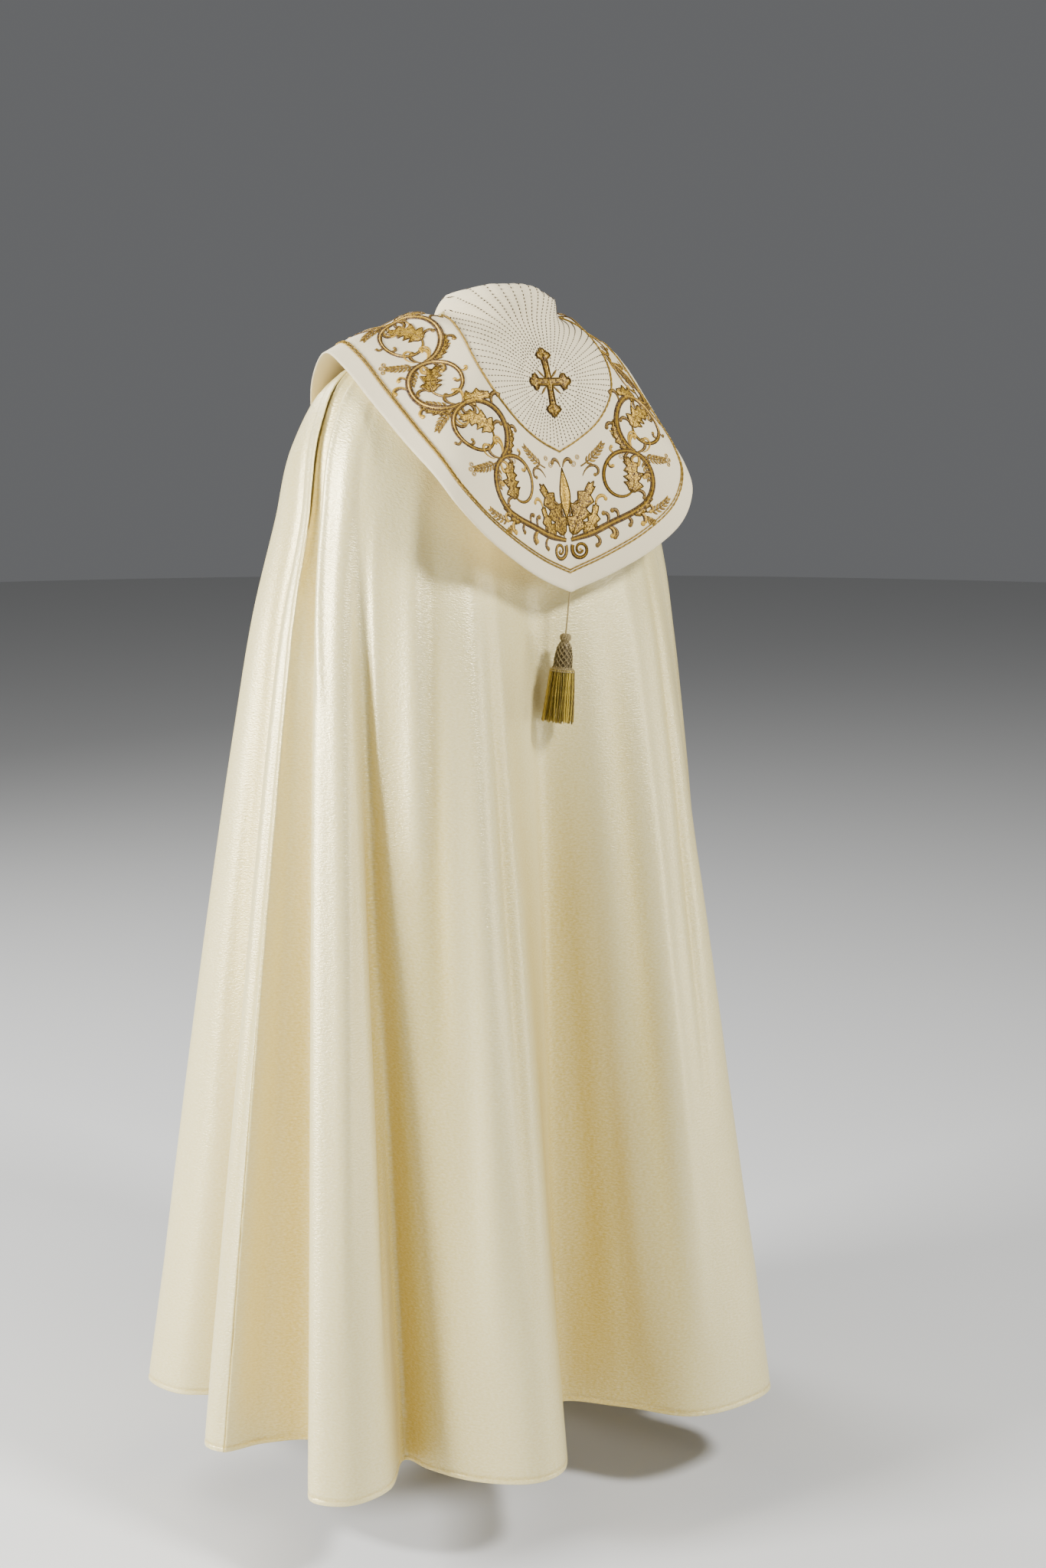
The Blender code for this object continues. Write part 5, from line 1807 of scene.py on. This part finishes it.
@dataclass
class Rinceau:
    """A traditional scrolling-stem border with leaves, sprigs and a budded cross."""

    scrolls: tuple[Scroll, ...] = (
        Scroll(0.0880, -0.2620, 0.0400, 1), Scroll(0.1300, -0.1939, 0.0400, -1),
        Scroll(0.1550, -0.1200, 0.0380, 1), Scroll(0.1660, -0.0418, 0.0410, -1),
        Scroll(0.1790, 0.0402, 0.0420, 1), Scroll(0.1830, 0.1242, 0.0420, -1))
    lead: tuple[tuple[float, float], ...] = ((0.0042, -0.3300), (0.030, -0.3245), (0.064, -0.3130))
    stem_width: float = 0.0094
    stem_height: float = 0.0021
    end_share: float = 0.40
    threads: Embroidery = field(default_factory=lambda: Embroidery("scroll_embroidery", Finish.SCROLL))
    fills: Embroidery = field(default_factory=lambda: Embroidery("leaf_filling", Finish.FILL))

    PATH_STEP, INNER_TURN, ROUND_SHARE, INNER_CURVE = 0.0012, math.radians(250.0), 0.8, 1.15
    STEM_WIDTHS = (0.0, 0.10, 0.45, 0.92, 1.0), (0.6, 1.0, 0.86, 0.46, 0.30)
    LEAF_HEIGHT, LEAF_EDGE = 0.0012, 0.0016
    VEIN_HEIGHT, VEIN_WIDTHS, VEIN_POINTS = 0.0018, (0.0022, 0.0009), 26

    def build(self) -> list[bpy.types.Object]:
        """Draw everything and carry it to the hood; the pieces made."""
        self.cross()
        self.tip()
        headings = [math.atan2(b.y - a.y, b.x - a.x) for a, b in zip(self.scrolls, self.scrolls[1:])]
        starts = [math.radians(285.0)] + [angle + math.pi for angle in headings]
        ends = headings + [headings[-1] + 0.5]
        for number, (scroll, start, end) in enumerate(zip(self.scrolls, starts, ends)):
            self.scroll(scroll, start, end, number)
        for number, (scroll, heading) in enumerate(zip(self.scrolls, headings)):
            self.between(scroll, heading, number)
        self.front_sprays()
        return [self.threads.make(), self.fills.make()]

    def curls(self, curls: Sequence[Curl]) -> None:
        """Free curls, in the order given."""
        for x, y, way, length, bend, width, kind in curls:
            self.threads.crook(np.array([x, y]), math.radians(way), length, bend, width, kind)

    def sprigs(self, sprigs: Sequence[Sprig]) -> None:
        """Free sprigs, in the order given."""
        for x, y, way, length, bend, leaflet, pairs in sprigs:
            self.threads.fern(np.array([x, y]), math.radians(way), length, bend, leaflet, pairs)

    def front_sprays(self) -> None:
        """Leaves, sprigs and curls that close the border towards the front edges."""
        self.leaf(np.array([0.2000, 0.1640]), math.radians(86.0), 0.050, 0.35, 0.026, 4, 0.50)
        self.curls(FRONT_CURLS)
        self.sprigs(FRONT_SPRIGS)
        self.threads.berry(np.array([0.2020, 0.2240]), 0.0030)

    def scroll(self, scroll: Scroll, start: float, end: float, number: int) -> None:
        """One circle with its inner branch, leaf, sheath and curls.

        Args:
            scroll: its place.
            start: angle at which the stem reaches the circle.
            end: angle at which the stem leaves for the next circle.
            number: its number from the hood's point.
        """
        centre, hand = np.array([scroll.x, scroll.y]), scroll.hand
        first = (hand * (end - start)) % (2 * math.pi)
        total = first + self.INNER_TURN
        turn = np.linspace(0.0, total, 150)
        whole = first * self.ROUND_SHARE
        share = np.clip((turn - whole) / (total - whole), 0.0, 1.0)
        reach = scroll.radius * (1 - (1 - self.end_share) * share ** self.INNER_CURVE)
        path = centre + reach[:, None] * compass(start + hand * turn)
        if number == 0:
            path = smooth_line(np.concatenate([self.lead, path[2::6]]), self.PATH_STEP)
        path = evenly(path, self.PATH_STEP)
        widths = self.stem_width * np.interp(np.linspace(0.0, 1.0, len(path)), *self.STEM_WIDTHS)
        self.threads.ribbon(path, widths, self.stem_height, RibbonKind.STEM)
        tip, heading = path[-1], unit(path[-1] - path[-5])
        toward = math.atan2(heading[1], heading[0])
        self.leaf(tip - heading * 0.002, toward + hand * 0.30, scroll.radius * 1.12,
                  hand * 1.25, scroll.radius * 0.74, 4, (0.40, 0.62)[number % 2])
        self.threads.crook(tip - heading * 0.004, toward - hand * 0.35, 0.026, -hand * 2.6, 0.0044)
        for at, outward, size, width, bend in STEM_CURLS:
            k = int(at * len(path))
            way = unit(path[k] - path[k - 3])
            ahead = math.atan2(way[1], way[0])
            side = -hand * outward
            self.threads.crook(path[k], ahead + side * 0.42, size, side * bend, width,
                               RibbonKind.LOBE if (number + outward) % 2 else RibbonKind.BROWN)
        k = int((0.30 if number == 0 else 0.05) * len(path))
        way = path[k + 3] - path[k]
        self.leaf(path[k] - hand * 0.0035 * left_of(way) / np.linalg.norm(way),
                  math.atan2(way[1], way[0]) - hand * 0.12, 0.040, hand * 0.040 / scroll.radius,
                  0.0125, 5, 0.34, vein=False)

    def between(self, scroll: Scroll, heading: float, number: int) -> None:
        """The sprigs, leaf and curls at the meeting of a circle with the next one."""
        meet = np.array([scroll.x, scroll.y]) + self.reach(heading, scroll.radius)
        outwards, inwards = heading - math.pi / 2, heading + math.pi / 2
        flip = (-1) ** number
        self.threads.fern(meet + self.reach(outwards, 0.010), outwards + 0.12 * flip, 0.038, 0.45 * flip,
                          0.0100, 7, berries=number % 2 == 0)
        self.threads.fern(meet + self.reach(outwards - 0.3 * flip, 0.012), outwards - 0.66 * flip, 0.028,
                          -0.35 * flip, 0.0082, 5)
        self.threads.crook(meet + self.reach(outwards + 0.4 * flip, 0.012), outwards + 0.75 * flip, 0.036,
                           5.0 * flip, 0.0032, RibbonKind.GOLD)
        self.threads.crook(meet + self.reach(inwards - 0.4 * flip, 0.010), inwards - 0.80 * flip, 0.034,
                           -5.0 * flip, 0.0032, RibbonKind.GOLD)
        if number % 2:
            self.leaf(meet + self.reach(inwards, 0.005), inwards, 0.036, 0.4, 0.024, 3, 0.62)
        else:
            self.threads.fern(meet + self.reach(inwards, 0.007), inwards - 0.1, 0.032, -0.4, 0.0086, 6)
            self.threads.berry(meet + self.reach(inwards + 0.75, 0.021), 0.0034)
        for way, side, size in ((outwards, 1, 0.027), (outwards, -1, 0.023),
                                (inwards, 1, 0.024), (inwards, -1, 0.027)):
            self.threads.crook(meet + self.reach(way, 0.002), way + side * 0.60, size, side * 2.7, 0.0046,
                               RibbonKind.BROWN if side > 0 else RibbonKind.GOLD)

    @staticmethod
    def reach(angle: float, length: float) -> Array:
        """Flat step of a length at an angle."""
        return length * np.array([math.cos(angle), math.sin(angle)])

    def leaf(self, base: Array, angle: float, length: float, bend: float, width: float,
             teeth: int, tone: float, vein: bool = True) -> None:
        """A toothed leaf with granular filling, outline and vein.

        Args:
            base: its foot.
            angle: its first direction.
            length: its length.
            bend: how far its vein turns, in radians.
            width: its full width.
            teeth: teeth on each side.
            tone: tone of its filling.
            vein: True for a stitched vein.
        """
        share = np.linspace(0.0, 1.0, 31)
        turn = angle + bend * share
        spine = base + walk(turn, length)
        along = compass(turn)
        aside = left_of(along)
        sides = []
        for side in (1, -1):
            places = [spine[0]]
            for tooth in range(teeth):
                low, high = (tooth + 0.15) / teeth, (tooth + 0.85) / teeth
                for at, spread, lean in ((low, 0.42, 0.0), ((low + high) / 2, 0.62, 0.0),
                                         (high, 1.0, 0.10), (high + 0.04, 0.72, 0.0)):
                    k = min(int(round(at * 30)), 29)
                    swell = math.sin(math.pi * (0.18 + 0.78 * at) ** 0.9) ** 0.7
                    places.append(spine[k] + side * aside[k] * width / 2 * spread * swell
                                  + along[k] * lean * length / teeth)
            places.append(spine[-1] + along[-1] * length * 0.06)
            sides.append(np.array(places))
        outline = np.concatenate([sides[0], sides[1][-2:0:-1]])
        self.threads.filled(outline, self.fills, self.LEAF_HEIGHT, tone, self.LEAF_EDGE, RibbonKind.BROWN)
        if vein:
            on = slice(0, self.VEIN_POINTS)
            widths = np.interp(share[on], (0.0, 1.0), self.VEIN_WIDTHS)
            self.threads.ribbon(spine[on], widths, self.VEIN_HEIGHT, RibbonKind.BROWN)

    def tip(self) -> None:
        """The small volutes, the bud and the leaves over the hood's point."""
        turn = np.linspace(0.0, math.radians(560.0), 90)
        reach = 0.0125 * (1 - 0.78 * (turn / turn[-1]) ** 0.9)
        heart = np.array([0.0165, -0.3425])
        path = evenly(heart + reach[:, None] * compass(math.radians(150.0) + turn), 0.0011)
        self.threads.ribbon(path, np.linspace(0.0058, 0.0030, len(path)), 0.0018, RibbonKind.STEM)
        self.threads.dot(heart, 0.0020, 0.95)
        bud = np.array([(0.0, -0.3030), (0.0035, -0.2960), (0.0068, -0.2850), (0.0080, -0.2740),
                        (0.0068, -0.2640), (0.0040, -0.2540), (0.0012, -0.2450), (0.0, -0.2405)])
        self.threads.filled(smooth_line(bud, 0.0015), self.fills, 0.0013, 0.85, 0.0014,
                            RibbonKind.BROWN, open_ends=True)
        self.leaf(np.array([0.0075, -0.3235]), math.radians(70.0), 0.070, -0.35, 0.034, 4, 0.36)
        self.leaf(np.array([0.0240, -0.3240]), math.radians(44.0), 0.040, 0.60, 0.022, 3, 0.62)
        self.curls(TIP_CURLS)
        self.sprigs(TIP_SPRIGS)
        self.curls(TIP_HOOKS)
        self.threads.berry(np.array([0.0185, -0.2365]), 0.0034)
        self.threads.berry(np.array([0.0255, -0.2285]), 0.0028)

    @staticmethod
    def bud(x: float, y: float, way: float, radius: float) -> Array:
        """Half circle of a bud round a place, facing a way in degrees."""
        turn = np.radians(np.linspace(-60.0, 60.0, 7))
        return np.array([x, y]) + radius * compass(math.radians(way) + turn * 1.5)

    def cross(self) -> None:
        """A plain budded cross in the middle of the rays."""
        arm, side, tall = 0.0042, 0.0300, 0.0430
        x, y = EMBLEM
        top, low = y + tall, y - tall
        outline = np.concatenate([
            [(x, low - 0.0005)], self.bud(x, low + 0.004, -90.0, 0.0045)[4:],
            self.bud(x + 0.0065, low + 0.0085, -10.0, 0.0038),
            [(x + arm, low + 0.014), (x + arm * 0.85, y - 0.012), (x + arm, y - arm)],
            [(x + side - 0.013, y - arm)], self.bud(x + side - 0.0075, y - 0.0062, -80.0, 0.0038),
            self.bud(x + side - 0.002, y, 0.0, 0.0045), self.bud(x + side - 0.0075, y + 0.0062, 80.0, 0.0038),
            [(x + side - 0.013, y + arm), (x + arm, y + arm), (x + arm * 0.85, y + 0.012),
             (x + arm, top - 0.014)],
            self.bud(x + 0.0065, top - 0.0085, 10.0, 0.0038), self.bud(x, top - 0.004, 90.0, 0.0045)[:3],
            [(x, top + 0.0005)]])
        self.threads.filled(outline, self.fills, 0.0018, 0.34, 0.0027, RibbonKind.BROWN, open_ends=True)
        widths = 0.0036 * np.sin(np.linspace(0.35, 3.0, 12))
        for way in (45.0, -45.0):
            path = EMBLEM + self.reach(math.radians(way), 1.0) * np.linspace(0.008, 0.023, 12)[:, None]
            self.threads.ribbon(path, widths, 0.0012, RibbonKind.BROWN)


TASSEL_LEAN = math.radians(7.0)
CORD_LENGTH, CORD_DIAMETER, CORD_POINTS = 0.051, 0.0024, 31
HEAD_RUN = 0.058
CORD_EXIT = np.array([0.0, 0.1468, -0.3096])
TASSEL_WAY = np.array([math.sin(TASSEL_LEAN), 0.0, -math.cos(TASSEL_LEAN)])


class Net(NamedTuple):
    """Crossing cords over the tassel's body: their ends, number, turns and radius."""

    top: float
    foot: float
    count: int
    turns: float
    radius: float


class Collar(NamedTuple):
    """One cord that lies round the tassel's neck or foot."""

    radius: float
    height: float
    thick: float


class StrandRing(NamedTuple):
    """One ring of skirt strands: how many, and their distance out at top and foot."""

    count: int
    top: float
    foot: float


@dataclass
class Tassel:
    """The twisted cord, the netted knob and head, and the skirt of bullion strands."""

    profile: tuple[tuple[float, float], ...] = (
        (0.0, 0.0), (0.0040, -0.0010), (0.0060, -0.0030), (0.0064, -0.0050), (0.0060, -0.0072),
        (0.0044, -0.0090), (0.0042, -0.0098), (0.0066, -0.0130), (0.0088, -0.0180),
        (0.0104, -0.0260), (0.0112, -0.0340), (0.0113, -0.0400), (0.0118, -0.0428))
    nets: tuple[Net, ...] = (Net(-0.0004, -0.0092, 7, 0.75, 0.00085),
                             Net(-0.0100, -0.0428, 11, 0.40, 0.00078))
    collars: tuple[Collar, ...] = (Collar(0.0044, -0.0096, 0.0009), Collar(0.0122, -0.0432, 0.0013),
                                   Collar(0.0138, -0.0450, 0.0015), Collar(0.0148, -0.0472, 0.0012))
    rings: tuple[StrandRing, ...] = (StrandRing(38, 0.0142, 0.0186), StrandRing(27, 0.0108, 0.0140),
                                     StrandRing(15, 0.0066, 0.0086))
    skirt_top: float = 0.0440
    skirt_length: float = 0.0680
    strand: float = 0.00115

    TWIST_STEP, CORD_PITCH, COLLAR_PITCH, NET_PITCH, STRAND_PITCH = 0.0005, 0.0075, 0.0052, 0.0035, 0.0062
    BODY_SIDES, NET_DEPTH, BODY_TONE, COLLAR_POINTS, NET_POINTS, STRAND_POINTS = 40, 0.0009, 0.05, 90, 34, 52
    SKIRT_SEED, LOOSE_TURN, LOOSE_LENGTH, SWAY, TONES = 11, 0.22, 0.075, 0.0009, (0.10, 1.0)
    FLARE, WAVE, WAVE_TURN = 0.8, 0.03, 5

    def build(self) -> None:
        """Build the cord and the tassel."""
        share = np.linspace(0.0, 1.0, CORD_POINTS)
        length = CORD_LENGTH + HEAD_RUN
        route = CORD_EXIT + TASSEL_WAY * length * share[:, None]
        piece = Piece("tassel_cord_twist")
        path = evenly(route, self.TWIST_STEP)
        twisted_cord(piece, path, np.tile([0.0, 1.0, 0.0], (len(path), 1)), CORD_DIAMETER / 2,
                     self.CORD_PITCH, sides=12, tone=0.8)
        cord = dress(piece.make(), Finish.NETTED)
        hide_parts("tassel_cord")
        head = dress(self.head().make(), Finish.NETTED)
        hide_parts("tassel")
        skirt = dress(self.skirt().make(), Finish.BULLION)

    @staticmethod
    def placed(local: Array) -> Array:
        """Points of the tassel's own axes, hung from the cord's foot."""
        lean = np.array(Matrix.Rotation(-TASSEL_LEAN, 3, "Y"))
        return CORD_EXIT + TASSEL_WAY * (CORD_LENGTH + SEAM_GAP) + local @ lean.T

    @classmethod
    def hang(cls, piece: Piece, turn: Array, reach: Array | float, height: Array | float,
             radius: float, pitch: float, sides: int = 8, tone: float = 0.75,
             capped: bool = True) -> None:
        """A twisted cord whose path is told round the tassel's own axis.

        Args:
            piece: where it is added.
            turn: angle of each point of its path, in radians.
            reach: distance of each point from the axis.
            height: height of each point.
            radius: its outer radius.
            pitch: length of one full turn of its strands.
            sides: points round it.
            tone: its tone on the strands' crowns.
            capped: True where its ends are rounded off.
        """
        out = compass(turn)
        path = np.column_stack([reach * out[:, 0], reach * out[:, 1], np.broadcast_to(height, turn.shape)])
        away = np.column_stack([out, np.zeros_like(turn)])
        twisted_cord(piece, cls.placed(path), cls.placed(away) - cls.placed(np.zeros(3)),
                     radius, pitch, sides=sides, tone=tone, capped=capped)

    def head(self) -> Piece:
        """The knob and the bell under a net of crossing cords, and the collar."""
        piece = Piece("tassel_head")
        radii, heights = np.array(self.profile).T
        turn = np.linspace(0.0, 2 * math.pi, self.BODY_SIDES, endpoint=False)
        inner = np.maximum(radii - self.NET_DEPTH, 0.0)[:, None]
        body = np.stack(np.broadcast_arrays(inner * np.cos(turn), inner * np.sin(turn), heights[:, None]),
                        axis=-1)
        piece.add(self.placed(body.reshape(-1, 3)), grid_faces(*body.shape[:2], closed=True)[:, ::-1],
                  np.zeros((body.size // 3, 2)), self.BODY_TONE)
        for net in self.nets:
            self.netted(piece, net)
        turn = np.linspace(0.0, 2 * math.pi, self.COLLAR_POINTS)
        for collar in self.collars:
            self.hang(piece, turn, collar.radius, collar.height, collar.thick, self.COLLAR_PITCH,
                      tone=0.55, capped=False)
        return piece

    def netted(self, piece: Piece, net: Net) -> None:
        """Two families of cords that cross over the turned body."""
        radii, heights = np.array(self.profile).T
        share = np.linspace(0.0, 1.0, self.NET_POINTS)
        height = net.top + (net.foot - net.top) * share
        reach = np.interp(-height, -heights, radii)
        for hand in (-1, 1):
            crossing = 2 * math.pi * net.turns * net.count * share * 2 + (hand > 0) * math.pi
            for number in range(net.count):
                turn = 2 * math.pi * (number / net.count + hand * net.turns * share)
                self.hang(piece, turn, reach + net.radius * 0.5 * np.sin(crossing), height,
                          net.radius, self.NET_PITCH, sides=6, tone=0.85)

    def skirt(self) -> Piece:
        """Every strand of the skirt, each with its own sway, length and tone."""
        piece = Piece("tassel_skirt")
        draws = np.random.default_rng(self.SKIRT_SEED)
        share = np.linspace(0.0, 1.0, self.STRAND_POINTS)
        for count, top, foot in self.rings:
            for number in range(count):
                turn = 2 * math.pi * (number + draws.uniform(-self.LOOSE_TURN, self.LOOSE_TURN)) / count
                length = self.skirt_length * (1 - draws.uniform(0.0, self.LOOSE_LENGTH))
                sway = draws.uniform(-self.SWAY, self.SWAY, 2)
                reach = top + (foot - top) * share ** self.FLARE + sway[0] * share
                wave = self.WAVE * np.sin(share * self.WAVE_TURN + number)
                self.hang(piece, turn + sway[1] / foot * share + wave, reach,
                          -self.skirt_top - length * share, self.strand, self.STRAND_PITCH,
                          tone=draws.uniform(*self.TONES))
        return piece


@dataclass
class Morse:
    """The plain tab that closes the front, with a row of edge stitches."""

    wall: float = 0.0026
    columns: int = 24
    rows: int = 40
    reach: float = 14.0 * 2 / 26
    flat: tuple[float, float] = (0.105, 0.08)

    HOOD_ROWS, TOP_ROW, FOOT_ROW = 9, 3, 6

    def build(self) -> None:
        """Build the tab and its stitches."""
        rows = np.linspace(HOOD.out[SEAM_ROW], HOOD.out[-1], self.HOOD_ROWS)
        out = np.linspace(rows[self.TOP_ROW], rows[self.FOOT_ROW], self.rows)
        face = HOOD.half_points(np.linspace(0.0, self.reach, self.columns), out)
        normals = face_normals(face)
        inner, outer = (np.concatenate([half[:, ::-1] * MIRROR, half], axis=1)
                        for half in (face + normals * SEAM_GAP, face + normals * (SEAM_GAP + self.wall)))
        pattern = np.stack(np.broadcast_arrays(
            run_length(outer.transpose(1, 0, 2)).T, -out[:, None]), axis=-1).reshape(-1, 2)
        piece = wall_piece("morse_cloth", outer, inner, pattern, 0.0)
        tab = dress(piece.make(), Finish.IVORY)
        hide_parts("morse")
        threads = Piece("morse_sewing")
        whole = face_normals(outer)
        inside = slice(2, -2)
        between = slice(3, -3)
        for edge in ((inside, 3), (inside, -4), (3, between), (-4, between)):
            sewn_line(threads, outer[edge], whole[edge])
        sewing = dress(threads.make(), Finish.SEWING)


class Lamp(NamedTuple):
    """One square soft light: its place, its width and its power in watts."""

    name: str
    place: tuple[float, float, float]
    size: float
    power: float


LAMPS = (
    Lamp("key", (-0.7, 3.1, 2.3), 0.7, 256.0),
    Lamp("side", (3.1, -0.8, 0.2), 1.1, 310.0),
    Lamp("far", (-2.2, 2.6, -0.4), 1.0, 34.0),
    Lamp("front", (0.2, -3.0, 1.6), 1.6, 100.0),
)
LAMP_AIM = Vector((0.0, 0.0, -0.6))
FLOOR_REACH, FLOOR_Z, FLOOR_SIDES = 12.0, -1.50, 128
FLOOR_COLOR, SKY_COLOR, SKY_STRENGTH = (0.62, 0.62, 0.61, 1.0), (0.62, 0.63, 0.65, 1.0), 0.22


def studio() -> None:
    """Plain pale floor and soft lights."""
    floor_mesh = bpy.data.meshes.new("floor")
    rim = FLOOR_REACH * compass(np.linspace(0.0, 2 * math.pi, FLOOR_SIDES, endpoint=False))
    rim = np.column_stack([rim, np.full(FLOOR_SIDES, FLOOR_Z)])
    floor_mesh.from_pydata(rim.tolist(), [], [tuple(range(FLOOR_SIDES))])
    floor = bpy.data.objects.new("floor", floor_mesh)
    bpy.context.scene.collection.objects.link(floor)
    finish, _, shader = dressed("pale floor")
    set_up(shader, Base_Color=FLOOR_COLOR, Roughness=0.8)
    floor_mesh.materials.append(finish)
    world = bpy.data.worlds.new("studio")
    world.use_nodes = True
    set_up(world.node_tree.nodes["Background"], Color=SKY_COLOR, Strength=SKY_STRENGTH)
    bpy.context.scene.world = world
    for name, place, size, power in LAMPS:
        light = bpy.data.lights.new(name, "AREA")
        light.energy = power
        light.size = size
        lamp = bpy.data.objects.new(name, light)
        lamp.location = place
        lamp.rotation_euler = (LAMP_AIM - Vector(place)).to_track_quat("-Z", "Y").to_euler()
        bpy.context.scene.collection.objects.link(lamp)


def camera() -> None:
    """The camera at neck height, 3 m off, 40 degrees round from straight behind."""
    turn, pitch, distance, aside = math.radians(40.0), math.radians(10.8), 3.0, 0.0366
    right = Vector((-math.cos(turn), math.sin(turn), 0.0))
    ahead = Vector((-math.sin(turn), -math.cos(turn), 0.0))
    up = Vector((0.0, 0.0, 1.0))
    view = ahead * math.cos(pitch) - up * math.sin(pitch)
    head = up * math.cos(pitch) + ahead * math.sin(pitch)
    data = bpy.data.cameras.new("camera")
    data.sensor_fit = "VERTICAL"
    data.sensor_height = 36.0
    data.lens = 53.9
    shooter = bpy.data.objects.new("camera", data)
    rotation = Matrix((right, head, -view)).transposed().to_4x4()
    shooter.matrix_world = Matrix.Translation(right * aside - ahead * distance) @ rotation
    bpy.context.scene.collection.objects.link(shooter)
    bpy.context.scene.camera = shooter


def main() -> None:
    """Build every piece in order."""
    logging.basicConfig(level=logging.INFO, format="%(message)s")
    camera()
    Tassel().build()
    studio()
    HoodCloth().build()
    Morse().build()
    Mantle().build()


if __name__ == "__main__":
    main()
